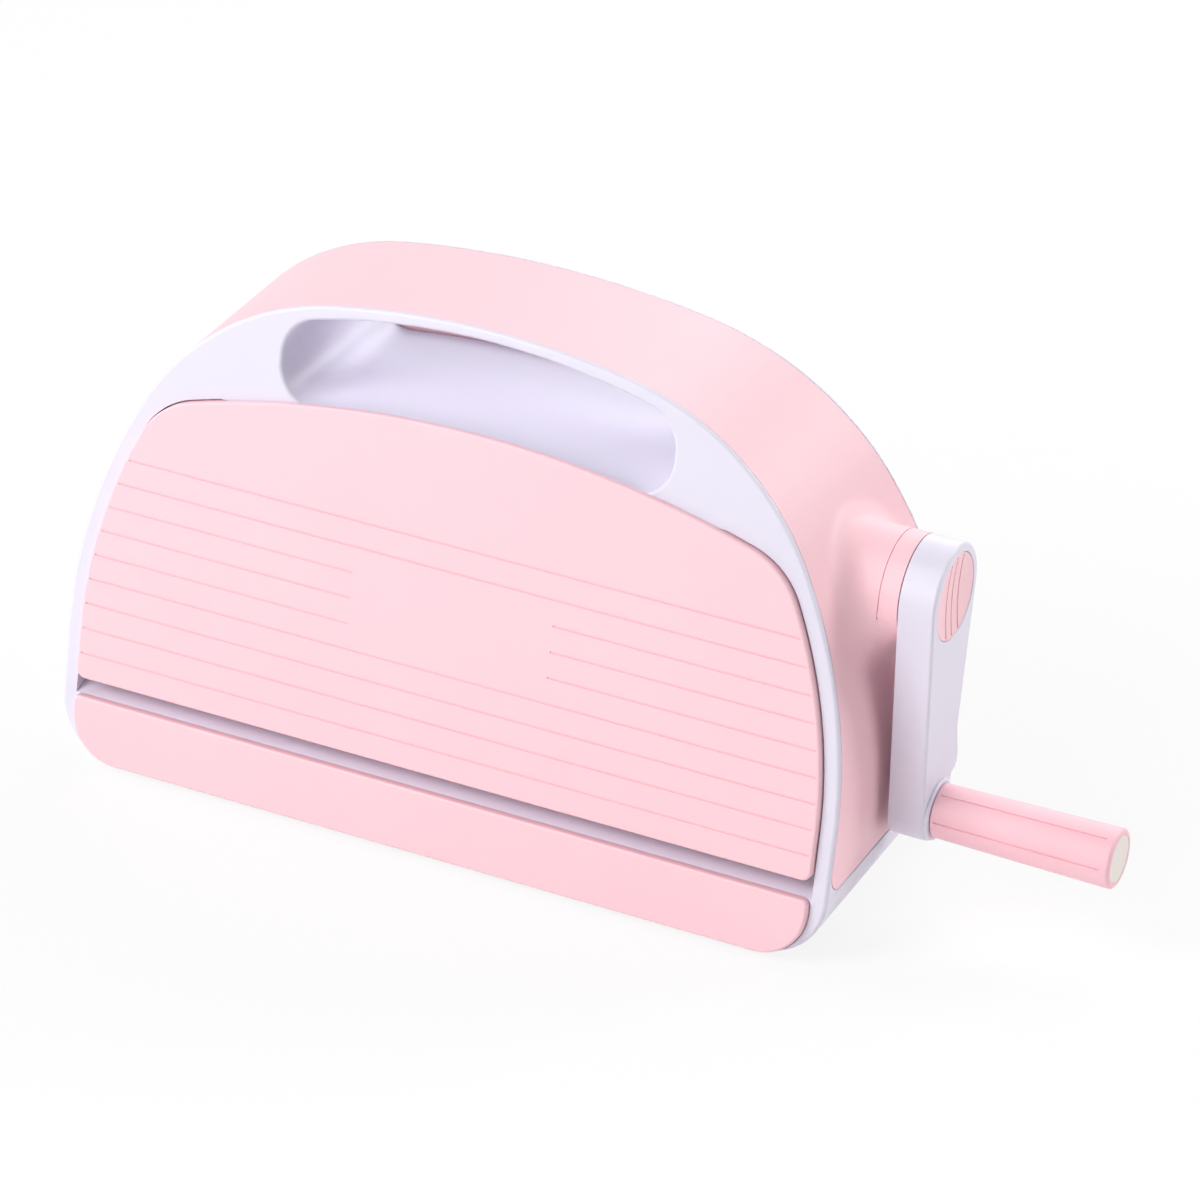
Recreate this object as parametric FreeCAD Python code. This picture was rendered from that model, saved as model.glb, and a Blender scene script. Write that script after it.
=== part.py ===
import FreeCAD, Part
import math
import os

# Hand cranked die cutting and embossing machine with a carry handle and two fold-down feed tables.
# Millimetres. X to the right, Y to the back, Z up. The origin is on the floor under the middle of the body.

V = FreeCAD.Vector
X_AXIS = V(1, 0, 0)

# Body outline seen from the front: straight sides, then a three-centre arch
HALF_WIDTH = 168.0
SIDE_STRAIGHT_TOP = 56.0
SIDE_RADIUS = 208.0
SIDE_TURN = 28.5
SHOULDER_RADIUS = 111.5
SHOULDER_TURN = 51.2
BASE_CORNER_RADIUS = 26.0

# Body seen from the side: both faces lean inwards
BASE_HALF_DEPTH = 70.0
LEAN = 10.0
FACE_EDGE_RADIUS = 1.6

# Feet and base tray
FOOT_HEIGHT = 2.0
FOOT_RADIUS = 8.0
FOOT_SINK = 1.0
TRAY_THICKNESS = 2.5
TRAY_GAP = 0.3
TRAY_SCREW_INSET = 8.0
TRAY_SCREW_SETBACK = 12.0
FOOT_INSET = 22.0
FOOT_SETBACK = 20.0

# Moulded shells and the band inlaid round them
SHELL_WALL = 2.6
BAND_THICKNESS = 2.6
BAND_SETBACK = 2.0
BAND_GAP = 0.3
TONGUE_BOTTOM = 29.5
TONGUE_RADIUS = 8.5

# Carry handle tunnel
HANDLE_HALF_WIDTH = 83.5
HANDLE_HEIGHT = 38.8
HANDLE_BAR = 5.0
HANDLE_CREST_RADIUS = 303.0
HANDLE_FLOOR_RADIUS = 480.0
HANDLE_CORNER_RADIUS = 16.0
HANDLE_MOUTH_GROWTH = 0.8
HANDLE_WALL = 5.0

# Fold-down feed flaps
FLAP_THICKNESS = 10.0
FLAP_PROUD = 3.0
FLAP_LIP_GAP = 0.3
FLAP_BORDER = 6.9
FLAP_GAP = 0.6
FLAP_BOTTOM = 36.6
FLAP_CREST = 179.7
FLAP_CREST_RADIUS = 441.0
FLAP_SHOULDER_RADIUS = 32.0
FLAP_CORNER_RADIUS = 4.0
FLAP_SKIN = 2.5
FLAP_RIM = 3.0
FLAP_EDGE_RADIUS = 1.2
FLAP_RIB = 1.6
FLAP_RIB_COUNT = 5
FLAP_RIB_PITCH = 52.0
FLAP_CROSS_RIB_COUNT = 2
FLAP_CROSS_RIB_PITCH = 46.0
TABLE_THICKNESS = 2.5
TABLE_GAP = 0.15
SEAT_GAP = 0.5

# Grooves across the flap face
GROOVE_COUNT = 9
GROOVE_PITCH = 10.68
GROOVE_TOP = 133.0
GROOVE_WIDTH = 0.8
GROOVE_DEPTH = 0.5
GROOVE_END_MARGIN = 1.6
BARE_FIRST = 3
BARE_LAST = 5
BARE_HALF_WIDTH = 43.4

# Flap hinge
HINGE_DEPTH = 3.5
HINGE_RISE = 5.1
PIN_RADIUS = 2.0
PIN_CLEARANCE = 0.06
PIN_SHELL_GAP = 0.02
PIN_END_GAP = 0.5
PIN_IN_FLAP = 9.0
PIN_IN_SHELL = 2.4
HINGE_BLOCK = 11.0
TROUGH_RADIUS = 10.5
TROUGH_FRONT_DROP = 1.2
TROUGH_WALL = 3.0

# Flap catches
MAGNET_RADIUS = 5.0
MAGNET_X = 100.0
MAGNET_DROP = 13.5
CATCH_RADIUS = 6.5
CATCH_THICKNESS = 1.2

# Lower fixed panels
PANEL_THICKNESS = 4.0
PANEL_TOP = 28.8
PANEL_BOTTOM = 2.4
PANEL_GAP = 0.4
PANEL_CORNER_RADIUS = 20.0
PANEL_TOP_CORNER = 2.5

# Rollers and their steel side plates
ROLLER_RADIUS = 13.0
ROLLER_PROUD = 0.1
NIP = 16.0
ROLLER_HALF_LENGTH = 119.2
JOURNAL_RADIUS = 6.0
RUNNING_CLEARANCE = 0.05
PLATE_INNER_X = 121.0
PLATE_THICKNESS = 3.0
PLATE_FOOT_HALF_DEPTH = 38.0
PLATE_HEAD_RADIUS = 15.0
PLATE_FLANGE = 14.0
PLATE_SCREW_Y = 24.0
BUSH_RADIUS = 8.0
BUSH_FLANGE_RADIUS = 10.5
BUSH_FLANGE = 1.5
BUSH_PROUD = 0.5
PRESS_GAP = 0.02
TIE_ROD_RADIUS = 4.0
TIE_ROD_LOW_Y = 24.0
TIE_ROD_LOW_Z = 14.0
TIE_ROD_HIGH_Y = 14.0
TIE_ROD_HIGH_Z = 103.0

# Screws, all of one size
SCREW_HEAD_RADIUS = 4.5
SCREW_HEAD = 2.6
SCREW_SHANK_RADIUS = 1.95
SCREW_REACH = 7.0
SCREW_HOLE_GAP = 0.05
SCREW_PASS_GAP = 0.3
SCREW_SINK = 1.2
LOW_HEAD = 1.1

# Deck behind each flap
DECK_DROP = 0.4
DECK_THICKNESS = 2.5
DECK_HALF_WIDTH = 118.5
DECK_ROLLER_GAP = 1.5
DECK_END_GAP = 1.0
DECK_RIB = 2.5
DECK_RIB_COUNT = 4
DECK_RIB_PITCH = 60.0
DECK_ROD_GAP = 3.0
MOUTH_HALF_WIDTH = 119.5
MOUTH_TOP = 68.0
MOUTH_CORNER_RADIUS = 6.0

# Gear train
MODULE = 1.5
DEDENDUM = 1.25
PRESSURE_ANGLE = 20.0
BACKLASH = 0.3
PINION_TEETH = 16
IDLER_TEETH = 14
DRIVE_TEETH = 56
SYNC_TEETH = 28
IDLER_ASIDE = 17.75
GEAR_X = 128.5
GEAR_WIDTH = 8.0
GEAR_RIM = 5.0
GEAR_HUB_RADIUS = 12.0
GEAR_DISH = 2.5
GEAR_HOLE_COUNT = 5
GEAR_HOLE_RADIUS = 8.0
AXLE_RADIUS = 4.0
SHAFT_TAIL = 3.0
CLIP_WALL = 2.5
CLIP_THICKNESS = 1.2
CLIP_GAP = 0.3
CLIP_FIT = 0.01

# Crank
CRANK_REST_TURN = -3.5
CRANK_LENGTH = 92.0
BOSS_RADIUS = 21.5
BOSS_FLARE = 14.0
BOSS_SEAM = 8.0
BOSS_SEAM_WIDTH = 0.5
BOSS_SEAM_DEPTH = 0.3
SHAFT_RADIUS = 6.0
SHAFT_TAIL_INSIDE = 5.0
OUTER_BUSH_RADIUS = 9.0
ARM_CLEARANCE = 4.5
ARM_GAP = 0.5
ARM_THICKNESS = 14.7
ARM_HEAD_RADIUS = 21.5
ARM_TIP_RADIUS = 13.0
ARM_EDGE_RADIUS = 1.2
ARM_SOCKET_FLOOR = 2.0
CRANK_SCREW_SEAT = 9.0
CRANK_SCREW_HEAD_RADIUS = 7.0
CRANK_SCREW_HEAD = 4.0
CRANK_SCREW_RADIUS = 2.45
CRANK_SCREW_LENGTH = 14.0
CRANK_SCREW_SOCKET = 2.5
CRANK_SCREW_HOLE_DEPTH = 16.0
CAP_RADIUS = 17.7
CAP_THICKNESS = 3.0
CAP_SUNK = 0.2
CAP_GAP = 0.15
CAP_DISH = 1.4
CAP_GROOVE_COUNT = 3
CAP_GROOVE_PITCH = 5.7
CAP_GROOVE_WIDTH = 1.1
CAP_GROOVE_DEPTH = 0.5
CAP_GROOVE_MARGIN = 1.0
COLLAR_RADIUS = 12.4
COLLAR_HEIGHT = 1.5
COLLAR_EDGE_RADIUS = 0.75

# Grip
GRIP_GAP = 0.2
GRIP_LENGTH = 74.6
GRIP_ROOT_RADIUS = 10.9
GRIP_END_RADIUS = 12.1
GRIP_END_ROUND = 1.5
GRIP_GROOVES = 6
GRIP_GROOVE_START = 3.5
GRIP_GROOVE_STOP = 9.0
GRIP_GROOVE_WIDTH = 0.8
GRIP_GROOVE_DEPTH = 0.5
SPINDLE_RADIUS = 4.0
SPINDLE_HEAD_RADIUS = 6.5
SPINDLE_HEAD = 3.0
SPINDLE_HEAD_GAP = 0.3
PLUG_RADIUS = 9.6
PLUG_THICKNESS = 3.0
PLUG_SUNK = 0.3
PLUG_BACK_GAP = 1.0
PLUG_EDGE_RADIUS = 0.5

# A length that reaches past the whole machine, for cutting tools, and how far a cut runs past a face
FAR = 600.0
PAST = 1.0

# How near a point counts as on a face or a circle
TINY = 0.001

LEAN_RAD = math.radians(LEAN)
COS_LEAN = math.cos(LEAN_RAD)
SIN_LEAN = math.sin(LEAN_RAD)
TAN_LEAN = math.tan(LEAN_RAD)

# Places that follow from the sizes above
FLAP_INNER = FLAP_THICKNESS - FLAP_PROUD
RECESS_DEPTH = FLAP_INNER + SEAT_GAP
PANEL_SEAT = PANEL_THICKNESS - FLAP_PROUD
LOW_SETBACK = PANEL_SEAT + SHELL_WALL
TABLE_DEPTH = FLAP_INNER - TABLE_THICKNESS
HINGE_BLOCK_TOP = FLAP_BOTTOM + 2 * HINGE_RISE
CAVITY_DEPTH = RECESS_DEPTH + SHELL_WALL
CAVITY_INSET = BAND_THICKNESS + SHELL_WALL
HINGE_SLOPE = FLAP_BOTTOM + HINGE_RISE
PIVOT_Y = -BASE_HALF_DEPTH + HINGE_DEPTH * COS_LEAN + HINGE_SLOPE * SIN_LEAN
PIVOT_Z = HINGE_SLOPE * COS_LEAN - HINGE_DEPTH * SIN_LEAN
TABLE_Z = PIVOT_Z + FLAP_INNER - HINGE_DEPTH
DECK_Z = TABLE_Z - DECK_DROP
TROUGH_FLOOR = PIVOT_Z - TROUGH_RADIUS
TROUGH_FRONT = TROUGH_FLOOR - TROUGH_FRONT_DROP
TROUGH_TOP = TABLE_Z + SEAT_GAP
LOWER_ROLLER_Z = TABLE_Z + ROLLER_PROUD - ROLLER_RADIUS
UPPER_ROLLER_Z = LOWER_ROLLER_Z + 2 * ROLLER_RADIUS + NIP
TRAY_TOP = FOOT_HEIGHT + TRAY_THICKNESS
SCREW_SEAT_Z = FOOT_HEIGHT + SCREW_SINK
FLAP_SIDE = HALF_WIDTH - FLAP_BORDER
PLATE_SCREW_X = PLATE_INNER_X - PLATE_FLANGE / 2
PLATE_OUTER_X = PLATE_INNER_X + PLATE_THICKNESS
GEAR_END_X = GEAR_X + GEAR_WIDTH
CLIP_X = GEAR_END_X + CLIP_GAP
ARM_INNER_X = HALF_WIDTH + ARM_CLEARANCE
BOSS_END_X = ARM_INNER_X - ARM_GAP
ARM_FACE_X = ARM_INNER_X + ARM_THICKNESS
GRIP_X = ARM_FACE_X + COLLAR_HEIGHT + GRIP_GAP
GRIP_END_X = GRIP_X + GRIP_LENGTH
SPINDLE_END_X = GRIP_END_X - PLUG_THICKNESS - PLUG_BACK_GAP
SEAT_X = ARM_FACE_X - CRANK_SCREW_SEAT
IDLER_Z = UPPER_ROLLER_Z + math.sqrt((MODULE * (IDLER_TEETH + DRIVE_TEETH) / 2) ** 2 - IDLER_ASIDE ** 2)
CRANK_Z = IDLER_Z + math.sqrt((MODULE * (PINION_TEETH + IDLER_TEETH) / 2) ** 2 - IDLER_ASIDE ** 2)
GRIP_Z = CRANK_Z - CRANK_LENGTH


def front_lift(y):
    return lambda p: V(p[0], y, p[1])


def side_lift(x):
    return lambda p: V(x, p[0], p[1])


def polar(centre, radius, degrees):
    turn = math.radians(degrees)
    return (centre[0] + radius * math.cos(turn), centre[1] + radius * math.sin(turn))


def mirrored(point):
    return (-point[0], point[1])


def wire(start, moves, lift):
    """Joined lines and short arcs: each move is an end point and an arc centre, or None for a line."""
    edges = []
    here = start
    for end, centre in moves:
        if centre is None:
            edges.append(Part.LineSegment(lift(here), lift(end)).toShape())
        else:
            radius = math.hypot(here[0] - centre[0], here[1] - centre[1])
            sum_x = here[0] + end[0] - 2 * centre[0]
            sum_y = here[1] + end[1] - 2 * centre[1]
            scale = radius / math.hypot(sum_x, sum_y)
            middle = (centre[0] + sum_x * scale, centre[1] + sum_y * scale)
            edges.append(Part.Arc(lift(here), lift(middle), lift(end)).toShape())
        here = end
    return Part.Wire(edges)


def symmetric_wire(start, moves, crown, lift, base=None):
    """Closes a right-hand half outline with its crown, its mirror image and its base."""
    points = [start] + [end for end, _ in moves]
    path = list(moves)
    path.append((mirrored(points[-1]), crown))
    for index in range(len(moves) - 1, -1, -1):
        centre = moves[index][1]
        path.append((mirrored(points[index]), mirrored(centre) if centre else None))
    path.append((start, base))
    return wire(start, path, lift)


def tangent_corner(c1, r1, c2, r2, radius):
    """Centre and touch points of an arc that rounds the corner inside two crossing circles."""
    d1 = r1 - radius
    d2 = r2 - radius
    gap = math.hypot(c2[0] - c1[0], c2[1] - c1[1])
    along = (d1 * d1 - d2 * d2 + gap * gap) / (2 * gap)
    across = math.sqrt(d1 * d1 - along * along)
    ux = (c2[0] - c1[0]) / gap
    uy = (c2[1] - c1[1]) / gap
    centre = max(
        (c1[0] + ux * along - side * uy * across, c1[1] + uy * along + side * ux * across)
        for side in (1, -1)
    )
    touch1 = (c1[0] + (centre[0] - c1[0]) * r1 / d1, c1[1] + (centre[1] - c1[1]) * r1 / d1)
    touch2 = (c2[0] + (centre[0] - c2[0]) * r2 / d2, c2[1] + (centre[1] - c2[1]) * r2 / d2)
    return centre, touch1, touch2


def arch_centres():
    """Centres of the body outline's side, shoulder and crown arcs, and the crown's radius."""
    side = (HALF_WIDTH - SIDE_RADIUS, SIDE_STRAIGHT_TOP)
    shoulder = polar(polar(side, SIDE_RADIUS, SIDE_TURN), -SHOULDER_RADIUS, SIDE_TURN)
    turn = SIDE_TURN + SHOULDER_TURN
    crown_radius = shoulder[0] / math.cos(math.radians(turn)) + SHOULDER_RADIUS
    crown = polar(shoulder, SHOULDER_RADIUS - crown_radius, turn)
    return side, shoulder, crown, crown_radius


def handle_crest():
    """Height of the carry handle opening's highest point, below the top of the arch."""
    _, _, crown, radius = arch_centres()
    return crown[1] + radius - HANDLE_BAR


def handle_corner():
    """Centres of the handle opening's crowned floor and of its low right corner."""
    floor = (0.0, handle_crest() - HANDLE_HEIGHT - HANDLE_FLOOR_RADIUS)
    x = HANDLE_HALF_WIDTH - HANDLE_CORNER_RADIUS
    reach = HANDLE_FLOOR_RADIUS + HANDLE_CORNER_RADIUS
    return floor, (x, floor[1] + math.sqrt(reach ** 2 - x ** 2))


def handle_shelf():
    """Height of the underside of the handle's floor."""
    _, corner = handle_corner()
    return corner[1] - HANDLE_CORNER_RADIUS - HANDLE_WALL


def flap_box_top():
    """Height up the leaning face where the flap's deep part ends, below the handle."""
    return handle_shelf() / COS_LEAN - FLAP_GAP


def arch_wire(inset, bottom, corner, y):
    """The body outline moved inwards by inset, with its base at bottom."""
    half = HALF_WIDTH - inset
    side, shoulder, crown, _ = arch_centres()
    turn = SIDE_TURN + SHOULDER_TURN
    start = (half - corner, bottom)
    moves = []
    if corner > 0:
        moves.append(((half, bottom + corner), (half - corner, bottom + corner)))
    moves.append(((half, SIDE_STRAIGHT_TOP), None))
    moves.append((polar(side, SIDE_RADIUS - inset, SIDE_TURN), side))
    moves.append((polar(shoulder, SHOULDER_RADIUS - inset, turn), shoulder))
    return symmetric_wire(start, moves, crown, front_lift(y))


def flap_side_circle():
    """Centre and radius of the flap's side, which follows the body outline up the leaning face."""
    radius = SIDE_RADIUS / COS_LEAN ** 2 - FLAP_BORDER
    return (FLAP_SIDE - radius, SIDE_STRAIGHT_TOP / COS_LEAN), radius


def flap_wire(grow, y):
    """The flap outline on the leaning face, moved outwards by grow."""
    half = FLAP_SIDE + grow
    side, side_radius = flap_side_circle()
    crest = (0.0, FLAP_CREST - FLAP_CREST_RADIUS)
    shoulder, low, high = tangent_corner(
        side, side_radius + grow, crest, FLAP_CREST_RADIUS + grow, FLAP_SHOULDER_RADIUS + grow
    )
    corner = FLAP_CORNER_RADIUS + grow
    base = FLAP_BOTTOM - grow
    moves = [
        ((half, base + corner), (half - corner, base + corner)),
        ((half, side[1]), None),
        (low, side),
        (high, shoulder),
    ]
    return symmetric_wire((half - corner, base), moves, crest, front_lift(y))


def flap_box(grow, front, back):
    """The flap's deep part, which ends below the handle, moved outwards by grow."""
    body = prism(flap_wire(grow, front), back - front)
    return body.common(block(-FAR, FAR, front, back, -FAR, flap_box_top() + grow))


def magnet_rise():
    """Height of the magnets up the leaning face, below the top edge of the flap's deep part."""
    crest = FLAP_CREST - FLAP_CREST_RADIUS + math.sqrt(FLAP_CREST_RADIUS ** 2 - MAGNET_X ** 2)
    return min(flap_box_top(), crest) - MAGNET_DROP


def flap_half_width(rise):
    """Half the flap's width at a height up the leaning face, below its shoulder."""
    side, radius = flap_side_circle()
    above = max(0.0, rise - side[1])
    return side[0] + math.sqrt(radius ** 2 - above ** 2)


def panel_wire(grow, y):
    """The lower panel outline on the leaning face, moved outwards by grow."""
    half = FLAP_SIDE + grow
    low = PANEL_CORNER_RADIUS + grow
    high = PANEL_TOP_CORNER + grow
    bottom = PANEL_BOTTOM - grow
    top = PANEL_TOP + grow
    moves = [
        ((half, bottom + low), (half - low, bottom + low)),
        ((half, top - high), None),
        ((half - high, top), (half - high, top - high)),
    ]
    return symmetric_wire((half - low, bottom), moves, None, front_lift(y))


def tunnel_wire(grow, y):
    """The carry handle opening with its crowned floor, moved outwards by grow."""
    half = HANDLE_HALF_WIDTH + grow
    corner = HANDLE_CORNER_RADIUS + grow
    floor, low = handle_corner()
    share = (HANDLE_FLOOR_RADIUS - grow) / (HANDLE_FLOOR_RADIUS + HANDLE_CORNER_RADIUS)
    start = (low[0] * share, floor[1] + (low[1] - floor[1]) * share)
    radius = HANDLE_CREST_RADIUS + grow
    crest = (0.0, handle_crest() - HANDLE_CREST_RADIUS)
    high = (low[0], crest[1] + math.sqrt((radius - corner) ** 2 - low[0] ** 2))
    reach = radius / (radius - corner)
    top = (high[0] * reach, crest[1] + (high[1] - crest[1]) * reach)
    moves = [
        ((half, low[1]), low),
        ((half, high[1]), None),
        (top, high),
    ]
    return symmetric_wire(start, moves, crest, front_lift(y), floor)


def side_trapezium(setback, bottom, radius):
    """The body seen from the side, run along X, with its faces set back and its low corners rounded."""
    edge = BASE_HALF_DEPTH - setback / COS_LEAN - bottom * TAN_LEAN
    slack = radius / math.tan(math.radians(45 - LEAN / 2))
    start = (edge - slack, bottom)
    moves = [
        ((edge - slack * SIN_LEAN, bottom + slack * COS_LEAN), (edge - slack, bottom + radius)),
        ((edge - FAR * TAN_LEAN / 2, bottom + FAR / 2), None),
    ]
    face = Part.Face(symmetric_wire(start, moves, None, side_lift(-FAR / 2)))
    return face.extrude(V(FAR, 0, 0))


def on_front(shape):
    """Turns a shape made flat on the XZ plane onto the leaning front face."""
    placed = shape.copy()
    placed.rotate(V(0, 0, 0), X_AXIS, -LEAN)
    placed.translate(V(0, -BASE_HALF_DEPTH, 0))
    return placed


def to_rear(shape):
    return shape.mirror(V(0, 0, 0), V(0, 1, 0))


def prism(outline, depth):
    return Part.Face(outline).extrude(V(0, depth, 0))


def block(x0, x1, y0, y1, z0, z1):
    return Part.makeBox(x1 - x0, y1 - y0, z1 - z0, V(x0, y0, z0))


def side_block(sign, x0, x1, y0, y1, z0, z1):
    """A block on the left or right side, from x0 to x1 away from the middle."""
    low, high = sorted((sign * x0, sign * x1))
    return block(low, high, y0, y1, z0, z1)


def rod(radius, x0, x1, y, z):
    return Part.makeCylinder(radius, x1 - x0, V(x0, y, z), X_AXIS)


def side_rod(sign, radius, x0, x1, y, z):
    """A rod on the left or right side, from x0 to x1 away from the middle."""
    low, high = sorted((sign * x0, sign * x1))
    return rod(radius, low, high, y, z)


def post(radius, z0, z1, x, y):
    return Part.makeCylinder(radius, z1 - z0, V(x, y, z0), V(0, 0, 1))


def face_disc(radius, thickness, x, depth, rise):
    """A disc let into the leaning face at a depth behind it."""
    disc = Part.makeCylinder(radius, thickness, V(x, depth, rise), V(0, 1, 0))
    return on_front(disc)


def edges_where(shape, test):
    """Edges whose ends and middle all meet a test."""
    found = []
    for edge in shape.Edges:
        middle = edge.valueAt((edge.FirstParameter + edge.LastParameter) / 2)
        points = [vertex.Point for vertex in edge.Vertexes] + [middle]
        if all(test(point) for point in points):
            found.append(edge)
    return found


def ahead_of(depth):
    """Everything in front of the plane that lies depth behind the leaning front face."""
    return on_front(block(-FAR / 2, FAR / 2, depth - FAR, depth, -FAR / 2, FAR / 2))


def leaning_block(inset, setback, bottom, corner, top=None):
    """The body form between both leaning faces, moved inwards on its outline and faces."""
    solid = prism(arch_wire(inset, bottom, corner, -FAR / 4), FAR / 2)
    cutter = ahead_of(setback)
    solid = solid.cut([cutter, to_rear(cutter)])
    if top is not None:
        solid = solid.common(block(-FAR, FAR, -FAR, FAR, bottom - PAST, top))
    return solid


def trough_tool(half_width):
    """The hollow that the flap's lower edge swings in."""
    front = -BASE_HALF_DEPTH - FLAP_THICKNESS
    sweep = rod(TROUGH_RADIUS, -half_width, half_width, PIVOT_Y, PIVOT_Z)
    section = [
        (front, TROUGH_FRONT),
        (PIVOT_Y - TROUGH_RADIUS / 2, TROUGH_FRONT),
        (PIVOT_Y, TROUGH_FLOOR),
        (PIVOT_Y, TROUGH_TOP),
        (front, TROUGH_TOP),
    ]
    points = [V(-half_width, y, z) for y, z in section]
    wedge = Part.Face(Part.makePolygon(points + points[:1])).extrude(V(2 * half_width, 0, 0))
    tool = sweep.fuse(wedge).removeSplitter()
    return tool.common(block(-FAR, FAR, -FAR, 0, 0, TROUGH_TOP))


def feed_mouth_tool():
    """The opening behind the flap that the plates pass through."""
    mouth = block(-MOUTH_HALF_WIDTH, MOUTH_HALF_WIDTH, -BASE_HALF_DEPTH, -PAST, PIVOT_Z, MOUTH_TOP)
    def at_top_corner(p):
        return abs(p.z - MOUTH_TOP) < TINY and abs(abs(p.x) - MOUTH_HALF_WIDTH) < TINY

    return mouth.makeFillet(MOUTH_CORNER_RADIUS, edges_where(mouth, at_top_corner))


def make_front_shell():
    """The moulded front half of the housing, down to the plane where it meets the rear half."""
    shell = leaning_block(0, 0, FOOT_HEIGHT, BASE_CORNER_RADIUS)
    shell = shell.common(block(-FAR, FAR, -FAR, 0, -FAR, FAR))
    mouth = tunnel_wire(HANDLE_MOUTH_GROWTH, -BASE_HALF_DEPTH)
    waist = tunnel_wire(0, 0)
    shell = shell.cut(Part.makeLoft([mouth, waist], True, True))
    rim = edges_where(shell, lambda p: abs((p.y + BASE_HALF_DEPTH) * COS_LEAN - p.z * SIN_LEAN) < TINY)
    shell = shell.makeFillet(FACE_EDGE_RADIUS, rim)

    ring = prism(arch_wire(-PAST, -PAST, 0, -FAR / 4), FAR / 2)
    ring = ring.cut(prism(arch_wire(BAND_THICKNESS, -2 * PAST, 0, -FAR / 4), FAR / 2))
    band_side = side_trapezium(BAND_SETBACK - BAND_GAP, TONGUE_BOTTOM - BAND_GAP, TONGUE_RADIUS)
    underside = TROUGH_FRONT - TROUGH_WALL
    sill = FOOT_HEIGHT + CAVITY_INSET
    hollow = leaning_block(CAVITY_INSET, CAVITY_DEPTH, underside, 0)
    shell = shell.cut([
        ring.common(band_side),
        hollow.cut(prism(tunnel_wire(HANDLE_WALL, -FAR / 2), FAR)),
        leaning_block(CAVITY_INSET, LOW_SETBACK, sill, BASE_CORNER_RADIUS - CAVITY_INSET, underside),
        leaning_block(BASE_CORNER_RADIUS, LOW_SETBACK, -PAST, 0, sill + PAST),
        on_front(flap_box(FLAP_GAP, -FLAP_PROUD, RECESS_DEPTH)),
        on_front(prism(panel_wire(PANEL_GAP, -FAR / 4), FAR / 4 + PANEL_SEAT)),
        trough_tool(FLAP_SIDE + FLAP_GAP),
        feed_mouth_tool(),
        rod(OUTER_BUSH_RADIUS + 2 * BAND_GAP, PLATE_OUTER_X, FAR / 2, 0, CRANK_Z),
    ])

    for x, y in tray_screw_places()[:2]:
        shell = shell.fuse(post(SCREW_HEAD_RADIUS, TRAY_TOP, underside + PAST, x, y))
        shell = shell.cut(post(SCREW_SHANK_RADIUS + SCREW_HOLE_GAP, 0, underside - PAST, x, y))
    for sign in (-1, 1):
        reach = FLAP_SIDE + FLAP_GAP + PIN_IN_SHELL
        shell = shell.cut([
            side_rod(sign, PIN_RADIUS + PIN_SHELL_GAP, FLAP_SIDE, reach, PIVOT_Y, PIVOT_Z),
            face_disc(CATCH_RADIUS, CATCH_THICKNESS, sign * MAGNET_X, RECESS_DEPTH, magnet_rise()),
        ])
    return shell


def make_arch_band():
    """The band over the arch, with the crank boss flared out of its right side."""
    outer = prism(arch_wire(0, -2 * PAST, 0, -FAR / 4), FAR / 2)
    inner = prism(arch_wire(BAND_THICKNESS, -3 * PAST, 0, -FAR / 4), FAR / 2)
    band = outer.cut(inner)
    band = band.common(side_trapezium(BAND_SETBACK, TONGUE_BOTTOM, TONGUE_RADIUS))
    boss = rod(BOSS_RADIUS, PLATE_OUTER_X, BOSS_END_X, 0, CRANK_Z).cut(inner)
    band = band.fuse(boss).removeSplitter()

    def at_boss_root(p):
        on_boss = abs(math.hypot(p.y, p.z - CRANK_Z) - BOSS_RADIUS) < TINY
        return on_boss and skin_x(BAND_THICKNESS / 2, p.z) < p.x < BOSS_END_X - TINY

    band = band.makeFillet(BOSS_FLARE, edges_where(band, at_boss_root))
    seam_x = BOSS_END_X - BOSS_SEAM
    seam = rod(BOSS_RADIUS + PAST, seam_x, seam_x + BOSS_SEAM_WIDTH, 0, CRANK_Z)
    seam = seam.cut(rod(BOSS_RADIUS - BOSS_SEAM_DEPTH, 0, FAR, 0, CRANK_Z))
    return band.cut([seam, rod(OUTER_BUSH_RADIUS + RUNNING_CLEARANCE, 0, FAR, 0, CRANK_Z)])


def skin_x(inset, z):
    """Half the width of the body outline moved inwards by inset, at a height on its side."""
    above = max(0.0, z - SIDE_STRAIGHT_TOP)
    return HALF_WIDTH - SIDE_RADIUS + math.sqrt((SIDE_RADIUS - inset) ** 2 - above ** 2)


def make_lower_panel():
    panel = prism(panel_wire(0, -FLAP_PROUD), PANEL_THICKNESS)
    front = edges_where(panel, lambda p: abs(p.y + FLAP_PROUD) < TINY)
    return on_front(panel.makeFillet(FLAP_EDGE_RADIUS, front))


def groove_spans():
    """Height and ends of each groove across the flap; the middle ones leave a bare field."""
    spans = []
    for index in range(GROOVE_COUNT):
        rise = GROOVE_TOP - index * GROOVE_PITCH
        reach = flap_half_width(rise) - GROOVE_END_MARGIN
        if BARE_FIRST <= index + 1 <= BARE_LAST:
            spans.append((rise, -reach, -BARE_HALF_WIDTH))
            spans.append((rise, BARE_HALF_WIDTH, reach))
        else:
            spans.append((rise, -reach, reach))
    return spans


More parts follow.
